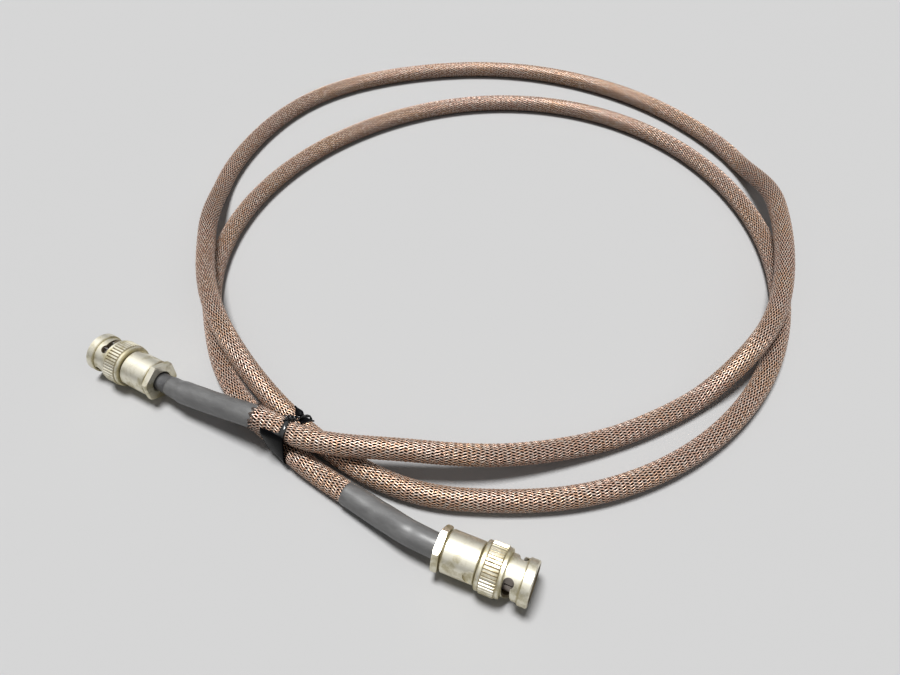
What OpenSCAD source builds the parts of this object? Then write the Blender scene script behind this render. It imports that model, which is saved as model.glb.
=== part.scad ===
// Coaxial instrument cable with a bayonet plug on both ends, looped twice and tied.
// Millimetres, +Z up. The origin lies on the table, midway between the two plugs.

/* [Cable] */
// Outer diameter of the braided sleeve
sleeve_d = 7; // [6.8:0.1:7.2]
// Outer diameter of the jacketed coaxial cable
jacket_d = 6.1; // [5.8:0.1:6.2]
// Diameter of the white dielectric under the braid
dielectric_d = 3.7; // [3.4:0.1:3.8]
// Diameter of the centre conductor
conductor_d = 0.8; // [0.6:0.05:0.9]
// Clear height between two strands where they cross
crossing_gap = 0.6; // [0.5:0.1:1.5]
// Swell of the loose sleeve end beside the heat shrink, on the radius
sleeve_swell = 0.7; // [0:0.1:1]

/* [Heat shrink] */
// Wall of the heat shrink
shrink_wall = 0.2; // [0.15:0.05:0.4]
// Length of the heat shrink behind plug A
shrink_a_l = 34; // [28:1:36]
// Length of the heat shrink behind plug B
shrink_b_l = 33; // [26:1:34]
// Bare jacket left between plug A and its heat shrink
bare_jacket_l = 4; // [2:0.5:6]

/* [Twist tie] */
// Width of the tie band
tie_w = 4.4; // [3:0.1:5]
// Thickness of the tie band
tie_t = 0.6; // [0.4:0.05:0.7]
// Length of each free end of the tie
tie_end_l = 6; // [4:0.5:10]

/* [Clamp nut] */
// Hexagon of the clamp nut, across its flats
nut_flats = 11.6; // [11.2:0.1:13.5]
// Length of the nut's hexagon
nut_hex_l = 2; // [1.8:0.1:4]
// Diameter of the nut's threaded shank
nut_thread_d = 9.8; // [9:0.1:10.2]
// Thread that shows between hexagon and body
nut_thread_shown = 0.5; // [0.4:0.1:2]
// Thread screwed into the body
nut_thread_held = 3.1; // [1.5:0.1:4]

/* [Cable clamp] */
// Thickness of the steel washer in front of the nut
clamp_washer_t = 0.58; // [0.4:0.02:0.8]
// Length of the rubber gasket round the jacket
clamp_gasket_l = 1.88; // [1.6:0.02:2.6]
// Length of the braid clamp's conical tail
clamp_tail_l = 1.28; // [1:0.02:2]
// Thickness of the braid clamp's flange
clamp_flange_t = 1.28; // [0.8:0.02:1.8]

/* [Plug body] */
// Outer diameter of the body
body_d = 12.1; // [11.6:0.1:13]
// Distance across the two wrench flats
body_flats = 11; // [10.8:0.1:11.5]
// Length of the wrench flats
flats_l = 3.1; // [2:0.1:4]
// Thickness of the wall between the clamp chamber and the neck bore
bulkhead_t = 1.7; // [1.4:0.1:2.5]
// Outer diameter of the neck that the coupling ring turns on
neck_d = 8.8; // [8.6:0.1:9]
// Length of the neck in front of the body
neck_l = 5.1; // [5:0.1:6]

/* [Contacts] */
// Outer diameter of the slotted contact sleeve's fingers
fingers_d = 8.06; // [7.9:0.02:8.1]
// Bore of the contact sleeve
contact_bore = 6.5; // [6.3:0.1:6.6]
// Length of the fingers in front of the contact sleeve's collar
fingers_l = 6.8; // [6:0.1:7]
// Number of slots between the fingers
finger_slots = 6; // [4:1:8]
// Diameter of the centre pin's tip
pin_d = 1.34; // [1.3:0.02:1.4]
// Diameter of the centre pin's solder barrel
pin_barrel_d = 2.2; // [1.9:0.1:2.6]
// Length of the solder barrel
pin_barrel_l = 2.7; // [2.2:0.1:3.2]
// Diameter of the open cup at the front of the insulator
insulator_cup_d = 5; // [4.6:0.1:5.4]

/* [Coupling ring] */
// Diameter over the knurl
knurl_d = 14.5; // [14.2:0.1:15.5]
// Number of knurl teeth
knurl_teeth = 44; // [30:1:60]
// Depth of a knurl tooth
knurl_depth = 0.35; // [0.2:0.05:0.5]
// Length of the knurl
knurl_l = 4.6; // [4.4:0.1:7]
// Diameter of the plain collars beside the knurl
collar_d = 13.9; // [13.4:0.1:14]
// Length of the collar behind the knurl
rear_collar_l = 1.3; // [1:0.1:3]
// Length of the collar in front of the knurl
front_collar_l = 1.2; // [0.8:0.1:2]
// Diameter of the slotted barrel
barrel_d = 11.9; // [11.6:0.1:12.4]
// Length of the slotted barrel
barrel_l = 4.7; // [4.4:0.1:6]
// Diameter of the front rim
rim_d = 12.9; // [12.6:0.1:13.6]
// Length of the front rim
rim_l = 2.9; // [2.5:0.1:4]
// Bore of the front rim, which the socket enters
rim_bore = 9.8; // [9.7:0.1:10]
// Width of the two bayonet slots
slot_w = 2.3; // [2:0.1:2.5]
// Diameter of the lock hole at the end of each slot
lock_d = 3; // [2.5:0.1:3.1]
// Turn of each slot from its entry to its lock hole, in degrees
slot_turn = 94; // [80:1:100]

/* [Spring and seals] */
// Thickness of the thrust washer inside the ring's rear lip
thrust_t = 0.6; // [0.4:0.05:0.8]
// Free height of the wave washer
wave_h = 1.9; // [1.8:0.05:2.4]
// Thickness of the wave washer's sheet
wave_t = 0.35; // [0.25:0.05:0.4]
// Thickness of the retaining ring
retainer_t = 0.7; // [0.5:0.05:0.8]
// Length of the front gasket
front_gasket_l = 1.1; // [0.8:0.05:1.3]

/* [Hidden] */
$fn = 64;

// Clearances: face to face, running fit on a shaft, and slack of the sleeve on the jacket
face_gap = 0.02;
running_gap = 0.06;
slip_gap = 0.05;
// A cut passes this far beyond what it cuts
beyond = 0.5;

// Stations along a plug, from the rear face of its nut (0) to the front of its ring
body_rear = nut_hex_l + nut_thread_shown;
washer_at = body_rear + nut_thread_held + face_gap;
gasket_at = washer_at + clamp_washer_t + face_gap;
jacket_end = gasket_at + clamp_gasket_l;
braid_t = 0.18;
braid_at = jacket_end + face_gap;
tail_at = braid_at + braid_t + face_gap;
flange_at = tail_at + clamp_tail_l;
chamber_end = flange_at + clamp_flange_t + face_gap;
shoulder_t = 1.4;
body_front = chamber_end + shoulder_t;
neck_bore_at = chamber_end + bulkhead_t;
neck_front = body_front + neck_l;
ring_at = body_front + 0.3;
ring_front = ring_at + rear_collar_l + knurl_l + front_collar_l + barrel_l + rim_l;
lip_t = 0.45;
thrust_at = ring_at + lip_t + 0.05;
wave_at = thrust_at + thrust_t + 0.03;
retainer_at = wave_at + wave_h + 0.02;
collar_t = 0.48;
collar_at = neck_front + face_gap;
fingers_at = collar_at + collar_t;
fingers_front = fingers_at + fingers_l;
front_gasket_at = fingers_at + face_gap;
pin_at = chamber_end + 0.92;
pin_shoulder = pin_at + pin_barrel_l;
pin_tip = fingers_front - 0.3;
insulator_at = neck_bore_at + face_gap;
insulator_front = fingers_front - 1.8;
insulator_cup_at = insulator_front - 4;
cavity_end = ring_at + rear_collar_l + knurl_l - 0.1;
barrel_at = ring_at + rear_collar_l + knurl_l + front_collar_l;
rim_at = barrel_at + barrel_l;
rim_bore_at = rim_at + 0.2;

// Radii inside a plug
jacket_r = jacket_d / 2;
dielectric_r = dielectric_d / 2;
conductor_r = conductor_d / 2;
chamber_r = nut_thread_d / 2 + 0.05;
gasket_r = chamber_r - 0.1;
nut_bore_r = jacket_r + 0.15;
tail_bore_r = dielectric_r + 0.15;
tail_rear_r = 3.2;
tail_front_r = 3.6;
bulkhead_hole_r = 2.9;
neck_r = neck_d / 2;
groove_r = neck_r - 0.35;
neck_bore_r = contact_bore / 2 + 0.37;
front_gasket_r = fingers_d / 2 + 0.77;
ring_bore_r = front_gasket_r + 0.3;
cavity_r = barrel_d / 2 + 0.15;
lip_bore_r = cavity_r - 0.7;
washer_r = cavity_r - 0.1;
knurl_r = knurl_d / 2;
keyway_r = rim_bore / 2 + 0.75;

// Where each plug's nut ends on the plan, and the way the plug points, in degrees
plug_a_at = [-45.2, 28.5];
plug_a_turn = 150;
plug_b_at = [44.9, -30.5];
plug_b_turn = -24;
// How far the nut, ring and body of each plug are turned about its axis, in degrees
plug_a_nut_spin = 2;
plug_a_ring_spin = 172;
plug_a_body_spin = 60;
plug_b_nut_spin = 41;
plug_b_ring_spin = 46;
plug_b_body_spin = 73;

// Cable radii
sleeve_r = sleeve_d / 2;
sleeve_in_r = jacket_r + slip_gap;
shrink_in_r = sleeve_r + slip_gap;
shrink_r = shrink_in_r + shrink_wall;
tight_in_r = jacket_r + slip_gap;

// The two loops: turns of one path whose angle runs on from the first loop into the second
loop_start = -120;
loop_end = 585;
loop_one = [64.4, 114.5, 114.5];
loop_two = [67.9, 90, 106.3];
// The second loop is a little oval and three-sided: [depth, angle of its bulge]
oval = [1.4, 44];
lobes = [1.1, 66];
// Angles over which the first circle passes into the second
change = [204, 260];
// Gentle bends that the cable has taken on: [angle, width, shift in x, shift in y]
bends = [[-120, 15, -7.5, -10], [-96, 14, -1, -3], [-32, 18, -1, -6], [10, 18, 2, 2],
    [60, 20, 0, -1], [130, 24, -4, 4], [188, 18, 5, 2], [212, 12, 0.5, 0], [226, 10, -0.5, 0.5],
    [250, 12, 0, -1], [268, 14, 2, 0.5], [558, 12, -0.5, 3], [572, 10, -2, 0], [585, 10, 0, -3.5]];
// Humps where the cable lies over itself: [rise from, rise to, fall from, fall to]
humps = [[-400, -399, -106, -70], [-58, -37, -5, 15], [168, 190, 215, 237]];
rise = sleeve_d + crossing_gap;
// The tie passes under the bundle and lifts it: [angle, width]
tie_lift = tie_t + 0.2;
lifts = [[-120, 16], [233, 12], [585, 14]];
ring_angles = [for (a = [-120 : 15 : 210]) a, for (a = [219 : 9 : 246]) a,
    for (a = [255 : 15 : 570]) a, 577.5, 585];
loop_sides = 6;
lead_sides = 8;
// Spacing of the rings along the two leads
lead_step = 4;

// Free points of lead A, from plug A to the tie, and of lead B, from the tie to plug B
lead_a_free = [[-35.9, 23.1, 7.8], [-28.6, 19.4, 8.8], [-21.6, 15.8, 10.1], [-16.1, 13.1, 11.2],
    [-11.6, 10.9, 11.8]];
lead_b_free = [[2.7, -0.1, 4.1], [9.3, -5.3, 3.5], [16.6, -10.7, 3.7], [23.4, -15.8, 4.4],
    [29.8, -20.7, 5.4], [36.3, -25.6, 6.6]];
// The cable runs straight this far behind the nut of plug A and of plug B
straight_a = 4;
straight_b = 1.5;

function unit(v) = v / norm(v);
function clamp01(x) = min(1, max(0, x));
// Smooth step from 0 at the angle a to 1 at the angle b
function eased(x, a, b) = let (t = clamp01((x - a) / (b - a))) t * t * (3 - 2 * t);
// Bell of height 1 at the angle c, w wide
function bell(x, c, w) = exp(-pow((x - c) / w, 2));
function total(list, i = 0) = i < len(list) ? list[i] + total(list, i + 1) : 0 * list[0];

// Point of the looped path at the angle a
function loop_point(a) =
    let (
        k = eased(a, change[0], change[1]),
        way = [cos(a), sin(a)],
        r_two = loop_two[2] + oval[0] * cos(2 * (a - oval[1])) + lobes[0] * cos(3 * (a - lobes[1])),
        one = [loop_one[0], loop_one[1]] + loop_one[2] * way,
        two = [loop_two[0], loop_two[1]] + r_two * way,
        shift = total([for (b = bends) bell(a, b[0], b[1]) * [b[2], b[3]]]),
        hump = total([for (h = humps) eased(a, h[0], h[1]) - eased(a, h[2], h[3])]),
        lift = total([for (t = lifts) bell(a, t[0], t[1])]),
        plan = (1 - k) * one + k * two + shift
    ) [plan[0], plan[1], sleeve_r + rise * hump + tie_lift * lift];

// Directions in which the looped path starts and ends, one degree of turn apart
loop_in = unit(loop_point(loop_start + 1) - loop_point(loop_start));
loop_out = unit(loop_point(loop_end) - loop_point(loop_end - 1));
loop_first = loop_point(loop_start) - sleeve_d * loop_in;
loop_last = loop_point(loop_end) + sleeve_d * loop_out;
loop_points = [loop_first, for (a = ring_angles) loop_point(a), loop_last];

// Point on a plug's axis, z in front of the nut's rear face
function on_axis(at, turn, z) = [at[0] + z * cos(turn), at[1] + z * sin(turn), knurl_r];
lead_a = [on_axis(plug_a_at, plug_a_turn, jacket_end), on_axis(plug_a_at, plug_a_turn, 0),
    on_axis(plug_a_at, plug_a_turn, -straight_a), for (p = lead_a_free) p, loop_first];
lead_b = [loop_last, for (p = lead_b_free) p, on_axis(plug_b_at, plug_b_turn, -straight_b),
    on_axis(plug_b_at, plug_b_turn, 0), on_axis(plug_b_at, plug_b_turn, jacket_end)];
lead_a_in = [-cos(plug_a_turn), -sin(plug_a_turn), 0];
lead_b_out = [cos(plug_b_turn), sin(plug_b_turn), 0];

// Distance of each point of a path from its first, along the chords
function mileage(path, i = 1, so_far = [0]) =
    i < len(path) ? mileage(path, i + 1, concat(so_far, so_far[i - 1] + norm(path[i] - path[i - 1])))
    : so_far;
lead_a_at = mileage(lead_a);
lead_b_at = mileage(lead_b);
lead_a_l = lead_a_at[len(lead_a) - 1];
lead_b_l = lead_b_at[len(lead_b) - 1];

// Slope of a path at its point i, with the given slopes at its two ends
function slope(path, at, first, last, i) =
    i == 0 ? first
    : i == len(path) - 1 ? last
    : (path[i + 1] - path[i - 1]) / (at[i + 1] - at[i - 1]);

// Station [distance, point, direction] on the smooth curve through the points of a path
function station(path, at, first, last, s) =
    let (
        i = max([for (j = [0 : len(path) - 2]) at[j] <= s ? j : 0]),
        l = at[i + 1] - at[i],
        t = (s - at[i]) / l,
        m0 = slope(path, at, first, last, i) * l,
        m1 = slope(path, at, first, last, i + 1) * l,
        p0 = path[i],
        p1 = path[i + 1],
        point = (2 * pow(t, 3) - 3 * t * t + 1) * p0 + (pow(t, 3) - 2 * t * t + t) * m0
            + (3 * t * t - 2 * pow(t, 3)) * p1 + (pow(t, 3) - t * t) * m1,
        way = (6 * t * t - 6 * t) * (p0 - p1) + (3 * t * t - 4 * t + 1) * m0 + (3 * t * t - 2 * t) * m1
    ) [s, point, unit(way)];

// Stations of a stretch of a lead, one per lead_step and one at each end
function stretch(path, at, first, last, from, to) = [
    station(path, at, first, last, from),
    for (k = [floor(from / lead_step) + 1 : ceil(to / lead_step) - 1])
        if (k * lead_step - from > 0.8 && to - k * lead_step > 0.8)
            station(path, at, first, last, k * lead_step),
    station(path, at, first, last, to)
];
function stretch_a(from, to) = stretch(lead_a, lead_a_at, lead_a_in, loop_in, from, to);
function stretch_b(from, to) = stretch(lead_b, lead_b_at, loop_out, lead_b_out, from, to);

// Stations of the loops: each ring stands square to the chord between its neighbours
loop_count = len(loop_points);
loop_stations = [for (i = [0 : loop_count - 1]) [i, loop_points[i],
    i <= 1 ? loop_in
    : i >= loop_count - 2 ? loop_out
    : unit(loop_points[i + 1] - loop_points[i - 1])]];

// Corners of one ring of a tube, the first straight up
function ring_corners(stop, r, sides) =
    let (
        side = unit(cross(stop[2], [0, 0, 1])),
        up = cross(side, stop[2])
    ) [for (k = [0 : sides - 1]) stop[1] + r * (cos(90 + 360 * k / sides) * side
        + sin(90 + 360 * k / sides) * up)];

// Triangles of the wall between ring rows, starting at corner number base
function wall_faces(rows, sides, base, inside) = [
    for (i = [0 : rows - 2], k = [0 : sides - 1])
        let (
            a = base + i * sides + k,
            b = base + i * sides + (k + 1) % sides,
            c = a + sides,
            d = b + sides
        ) each inside ? [[a, d, b], [a, c, d]] : [[a, b, d], [a, d, c]]
];

// Solid tube through the stations, radii[i] at station i
module rod_tube(stops, radii, sides) {
    rows = len(stops);
    points = [for (i = [0 : rows - 1]) each ring_corners(stops[i], radii[i], sides)];
    last = (rows - 1) * sides;
    near = [for (k = [1 : sides - 2]) [0, k + 1, k]];
    far = [for (k = [1 : sides - 2]) [last, last + k, last + k + 1]];
    polyhedron(points, concat(wall_faces(rows, sides, 0, false), near, far));
}

// Hollow tube through the stations, outer[i] and inner[i] at station i
module hollow_tube(stops, outer, inner, sides) {
    rows = len(stops);
    count = rows * sides;
    points = concat(
        [for (i = [0 : rows - 1]) each ring_corners(stops[i], outer[i], sides)],
        [for (i = [0 : rows - 1]) each ring_corners(stops[i], inner[i], sides)]);
    last = (rows - 1) * sides;
    near = [for (k = [0 : sides - 1]) let (n = (k + 1) % sides)
        each [[k, count + k, n], [n, count + k, count + n]]];
    far = [for (k = [0 : sides - 1]) let (n = (k + 1) % sides)
        each [[last + k, last + n, count + last + k], [last + n, count + last + n, count + last + k]]];
    polyhedron(points, concat(wall_faces(rows, sides, 0, false),
        wall_faces(rows, sides, count, true), near, far));
}

// Least distance from a point to the straight run from a to b
function to_run(p, a, b) = norm(p - a - clamp01((p - a) * (b - a) / ((b - a) * (b - a))) * (b - a));
// Least gap of the looped tube to itself, measured from points along each run to the other runs
function loops_gap() = min([
    for (i = [0 : loop_count - 2], t = [0 : 0.2 : 0.8], j = [i + 4 : 1 : loop_count - 2])
        to_run((1 - t) * loop_points[i] + t * loop_points[i + 1], loop_points[j], loop_points[j + 1])
]) - sleeve_d;

// Moves what is drawn along +Z to its place on a plug
module on_plug(at, turn) {
    translate([at[0], at[1], knurl_r])
        rotate([0, 0, turn])
            rotate([0, 90, 0])
                children();
}

// Tube from z to z + l with a bore
module sleeve_piece(z, l, r_out, r_in) {
    translate([0, 0, z])
        difference() {
            cylinder(r = r_out, h = l);
            translate([0, 0, -beyond]) cylinder(r = r_in, h = l + 2 * beyond);
        }
}

// Spun outline given as [radius, z] points
module spun(outline) {
    rotate_extrude() polygon(outline);
}

nickel = [0.80, 0.76, 0.68];
brass = [0.82, 0.68, 0.38];
steel = [0.62, 0.63, 0.66];
rubber = [0.55, 0.24, 0.20];
ptfe = [0.95, 0.94, 0.90];

// Hexagon with chamfered corners, a threaded shank and the cable's bore
module clamp_nut() {
    chamfer = 0.5;
    corner_r = nut_flats / 2 / cos(30);
    color(nickel)
        difference() {
            union() {
                intersection() {
                    cylinder(r = corner_r, h = nut_hex_l, $fn = 6);
                    spun([[0, 0], [corner_r - chamfer, 0], [corner_r, chamfer * 0.58],
                        [corner_r, nut_hex_l - chamfer * 0.58], [corner_r - chamfer, nut_hex_l],
                        [0, nut_hex_l]]);
                }
                spun([[0, 0.1], [nut_thread_d / 2, 0.1],
                    [nut_thread_d / 2, washer_at - face_gap - 0.3],
                    [nut_thread_d / 2 - 0.3, washer_at - face_gap], [0, washer_at - face_gap]]);
            }
            translate([0, 0, -beyond]) cylinder(r = nut_bore_r, h = washer_at + 2 * beyond);
            translate([0, 0, -face_gap])
                cylinder(r1 = nut_bore_r + 0.4, r2 = nut_bore_r, h = 0.4);
        }
}

module clamp_washer() {
    color(steel) sleeve_piece(washer_at, clamp_washer_t, gasket_r, nut_bore_r);
}

// Rubber ring with a groove round its front face, which the clamp squeezes
module clamp_gasket() {
    mid_r = (jacket_r + slip_gap + gasket_r) / 2;
    color(rubber)
        spun([[jacket_r + slip_gap, gasket_at], [gasket_r, gasket_at], [gasket_r, jacket_end],
            [mid_r + 0.5, jacket_end], [mid_r, jacket_end - 0.5], [mid_r - 0.5, jacket_end],
            [jacket_r + slip_gap, jacket_end]]);
}

// Flange against the chamber's end, with a conical tail under the braid
module braid_clamp() {
    color(nickel)
        spun([[tail_bore_r, tail_at], [tail_rear_r, tail_at], [tail_front_r, flange_at],
            [gasket_r, flange_at], [gasket_r, flange_at + clamp_flange_t],
            [tail_bore_r, flange_at + clamp_flange_t]]);
}

// Combed-out braid, turned up at the jacket's end and laid over the clamp's tail
module braid_end() {
    color("peru")
        spun([[dielectric_r + slip_gap, braid_at], [tail_rear_r + slip_gap + braid_t, braid_at],
            [tail_front_r + slip_gap + braid_t, flange_at - face_gap],
            [tail_front_r + slip_gap, flange_at - face_gap],
            [tail_rear_r + slip_gap, braid_at + braid_t],
            [dielectric_r + slip_gap, braid_at + braid_t]]);
}

module dielectric_end() {
    color(ptfe)
        sleeve_piece(braid_at, pin_at - face_gap - braid_at, dielectric_r, conductor_r + face_gap);
}

module conductor_end() {
    color("peru")
        translate([0, 0, braid_at]) cylinder(r = conductor_r, h = pin_shoulder - 1 - braid_at, $fn = 32);
}

// Solder barrel with its inspection hole, a thin shank and a rounded tip
module centre_pin() {
    tip_r = pin_d / 2;
    color(brass)
        difference() {
            union() {
                translate([0, 0, pin_at]) cylinder(r = pin_barrel_d / 2, h = pin_barrel_l);
                translate([0, 0, pin_shoulder - 0.1])
                    cylinder(r = tip_r, h = pin_tip - tip_r - pin_shoulder + 0.1);
                translate([0, 0, pin_tip - tip_r]) sphere(r = tip_r);
            }
            translate([0, 0, pin_at - beyond])
                cylinder(r = conductor_r + slip_gap, h = pin_barrel_l - 0.95 + beyond);
            translate([0, 0, pin_at + 0.6])
                rotate([0, 90, 0]) cylinder(r = 0.3, h = pin_barrel_d);
        }
}

// White cylinder round the pin, counterbored for the solder barrel and cupped in front
module insulator() {
    outer_r = contact_bore / 2 - 0.03;
    bore_r = pin_d / 2 + 0.03;
    color(ptfe)
        difference() {
            translate([0, 0, insulator_at]) cylinder(r = outer_r, h = insulator_front - insulator_at);
            translate([0, 0, insulator_at - beyond])
                cylinder(r = bore_r, h = insulator_front - insulator_at + 2 * beyond);
            translate([0, 0, insulator_at - beyond])
                cylinder(r = pin_barrel_d / 2 + slip_gap,
                    h = pin_shoulder + face_gap - insulator_at + beyond);
            translate([0, 0, insulator_cup_at])
                cylinder(r = insulator_cup_d / 2, h = insulator_front - insulator_cup_at + beyond);
        }
}

// Tube pressed into the neck, a collar on the neck's face and spring fingers in front
module contact_sleeve() {
    slot_l = fingers_l * 0.7;
    color(nickel)
        difference() {
            union() {
                translate([0, 0, insulator_at])
                    cylinder(r = neck_bore_r - face_gap, h = collar_at + 0.1 - insulator_at);
                translate([0, 0, collar_at]) cylinder(r = neck_r, h = collar_t);
                spun([[0, fingers_at - 0.1], [fingers_d / 2, fingers_at - 0.1],
                    [fingers_d / 2, fingers_front - 0.25], [fingers_d / 2 - 0.25, fingers_front],
                    [0, fingers_front]]);
            }
            translate([0, 0, insulator_at - beyond])
                cylinder(r = contact_bore / 2, h = fingers_front - insulator_at + 2 * beyond);
            for (k = [0 : finger_slots - 1])
                rotate([0, 0, 360 * k / finger_slots])
                    translate([contact_bore / 2 - beyond, -0.2, fingers_front - slot_l])
                        cube([fingers_d / 2 - contact_bore / 2 + 2 * beyond, 0.4, slot_l + beyond]);
        }
}

// Soft ring on the root of the fingers, where the socket's edge seals
module front_gasket() {
    color(rubber)
        sleeve_piece(front_gasket_at, front_gasket_l, front_gasket_r, fingers_d / 2 + face_gap);
}

// Body with clamp chamber, wrench flats, and a grooved neck that carries the ring
module plug_body() {
    body_r = body_d / 2;
    chamfer = 0.3;
    // Each flat is as wide as its chord and rounded behind
    half_chord = sqrt(pow(body_r, 2) - pow(body_flats / 2, 2));
    color(nickel)
        difference() {
            spun([[0, body_rear], [body_r - chamfer, body_rear], [body_r, body_rear + chamfer],
                [body_r, body_front - chamfer], [body_r - chamfer, body_front], [neck_r, body_front],
                [neck_r, retainer_at - 0.03], [groove_r, retainer_at - 0.03],
                [groove_r, retainer_at + retainer_t + 0.03],
                [neck_r, retainer_at + retainer_t + 0.03], [neck_r, neck_front], [0, neck_front]]);
            translate([0, 0, body_rear - beyond])
                cylinder(r = chamber_r, h = chamber_end - body_rear + beyond);
            cylinder(r = bulkhead_hole_r, h = neck_front);
            translate([0, 0, neck_bore_at]) cylinder(r = neck_bore_r, h = neck_l);
            for (side = [-1, 1])
                translate([side * (body_flats / 2 + body_r) - body_r, 0, body_front - flats_l])
                    intersection() {
                        translate([0, -body_r, 0]) cube([2 * body_r, 2 * body_r, flats_l - chamfer]);
                        translate([0, 0, half_chord]) rotate([0, 90, 0])
                            cylinder(r = half_chord, h = 2 * body_r, $fn = 48);
                    }
        }
}

// Snap ring in the neck's groove, open on one side
module retaining_ring() {
    color(steel)
        difference() {
            sleeve_piece(retainer_at, retainer_t, washer_r - 0.1, groove_r + 0.05);
            translate([0, -1, retainer_at - beyond]) cube([2 * washer_r, 2, retainer_t + 2 * beyond]);
        }
}

module thrust_washer() {
    color(steel) sleeve_piece(thrust_at, thrust_t, washer_r, neck_r + running_gap);
}

// Thin ring bent up and down in three waves
module wave_washer() {
    steps = 48;
    in_r = neck_r + 0.15;
    out_r = washer_r - 0.05;
    swing = (wave_h - wave_t) / 2;
    mid = wave_at + wave_h / 2;
    corners = [for (k = [0 : steps - 1])
        let (
            a = 360 * k / steps,
            z = mid + swing * sin(3 * a),
            way = [cos(a), sin(a), 0]
        ) each [in_r * way + [0, 0, z - wave_t / 2], out_r * way + [0, 0, z - wave_t / 2],
            out_r * way + [0, 0, z + wave_t / 2], in_r * way + [0, 0, z + wave_t / 2]]];
    sheets = [for (k = [0 : steps - 1], e = [0 : 3])
        let (
            a = 4 * k + e,
            b = 4 * k + (e + 1) % 4,
            c = 4 * ((k + 1) % steps) + e,
            d = 4 * ((k + 1) % steps) + (e + 1) % 4
        ) each [[a, b, d], [a, d, c]]];
    color(steel) polyhedron(corners, sheets);
}

// Outline of the straight knurl: pointed teeth, which the knurl's round cuts halfway down, so that
// flat tops and grooves are equally wide
module knurl_outline() {
    polygon([for (k = [0 : 2 * knurl_teeth - 1])
        (k % 2 == 0 ? knurl_r + knurl_depth : knurl_r - knurl_depth)
            * [cos(180 * (k + 0.5) / knurl_teeth), sin(180 * (k + 0.5) / knurl_teeth)]]);
}

// Hole square to the ring's wall at the angle a, z in front of the nut's rear face
module wall_hole(a, z, r, from_r, to_r) {
    rotate([0, 0, a]) translate([from_r, 0, z])
        rotate([0, 90, 0]) cylinder(r = r, h = to_r - from_r, $fn = 24);
}

// One bayonet slot: a keyway through the rim, a slot that winds through the barrel and grows flatter
// on its way back, and the lock hole
module bayonet_slot() {
    first_z = rim_at - slot_w / 2 - 0.15;
    deep_z = barrel_at + slot_w / 2 + 0.15;
    helix_turn = slot_turn - 8;
    round_r = slot_w / 2 * 1.05;
    half_w = slot_w / 2 * 1.02;
    in_r = ring_bore_r - beyond;
    out_r = barrel_d / 2 + 0.8;
    steps = 9;
    corners = [for (k = [0 : steps])
        let (
            a = helix_turn * (k / steps - 1),
            z = deep_z + (first_z - deep_z) * pow(k / steps, 2),
            way = [cos(a), sin(a), 0]
        ) each [in_r * way + [0, 0, z - half_w], out_r * way + [0, 0, z - half_w],
            out_r * way + [0, 0, z + half_w], in_r * way + [0, 0, z + half_w]]];
    walls = [for (k = [0 : steps - 1], e = [0 : 3])
        let (
            a = 4 * k + e,
            b = 4 * k + (e + 1) % 4
        ) each [[a, b, b + 4], [a, b + 4, a + 4]]];
    polyhedron(corners, concat(walls, [[3, 2, 1, 0], [for (e = [0 : 3]) 4 * steps + e]]));
    translate([0, -slot_w / 2, first_z]) cube([keyway_r, slot_w, ring_front - first_z + beyond]);
    wall_hole(0, first_z, round_r, in_r, out_r);
    wall_hole(-helix_turn, deep_z, round_r, in_r, out_r);
    wall_hole(-slot_turn, barrel_at + lock_d / 2 + 0.15, lock_d / 2, in_r, out_r);
}

// Knurled ring that turns on the neck and draws the socket in by its two slots
module coupling_ring() {
    knurl_at = ring_at + rear_collar_l;
    knurl_end = knurl_at + knurl_l;
    collar_r = collar_d / 2;
    barrel_r = barrel_d / 2;
    rim_r = rim_d / 2;
    edge = 0.3;
    color(nickel)
        difference() {
            union() {
                spun([[0, ring_at], [collar_r - edge, ring_at], [collar_r, ring_at + edge],
                    [collar_r, knurl_at], [knurl_r - knurl_depth - 0.1, knurl_at],
                    [knurl_r - knurl_depth - 0.1, knurl_end], [collar_r, knurl_end],
                    [collar_r, barrel_at - edge], [collar_r - edge, barrel_at], [barrel_r, barrel_at],
                    [barrel_r, rim_at], [rim_r - edge, rim_at], [rim_r, rim_at + edge],
                    [rim_r, ring_front - edge], [rim_r - edge, ring_front], [0, ring_front]]);
                intersection() {
                    translate([0, 0, knurl_at]) linear_extrude(knurl_l) knurl_outline();
                    spun([[0, knurl_at], [knurl_r - edge, knurl_at], [knurl_r, knurl_at + edge],
                        [knurl_r, knurl_end - edge], [knurl_r - edge, knurl_end], [0, knurl_end]]);
                }
            }
            translate([0, 0, ring_at - beyond]) cylinder(r = lip_bore_r, h = 2 * beyond + lip_t);
            translate([0, 0, ring_at + lip_t]) cylinder(r = cavity_r, h = cavity_end - ring_at - lip_t);
            translate([0, 0, ring_at + beyond])
                cylinder(r = ring_bore_r, h = rim_bore_at - ring_at - beyond);
            translate([0, 0, ring_at + beyond]) cylinder(r = rim_bore / 2, h = ring_front - ring_at);
            for (turn = [90, 270])
                rotate([0, 0, turn]) bayonet_slot();
        }
}

// Jacketed cable: its shields and dielectric stay sealed inside along the free length
module core_tube(stops, sides) {
    color("dimgray") rod_tube(stops, [for (s = stops) jacket_r], sides);
}

// Radius added to the sleeve where it bunches up beside heat shrink A
shrink_a_at = jacket_end + bare_jacket_l;
shrink_a_end = shrink_a_at + shrink_a_l;
function swell(s) = sleeve_swell * eased(s, shrink_a_end, shrink_a_end + 2)
    * (1 - eased(s, shrink_a_end + 5, shrink_a_end + 11));

module sleeve_tube(stops, sides, swells) {
    color([0.42, 0.30, 0.24])
        hollow_tube(stops, [for (i = [0 : len(stops) - 1]) sleeve_r + swells[i]],
            [for (i = [0 : len(stops) - 1]) sleeve_in_r + swells[i]], sides);
}

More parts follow.
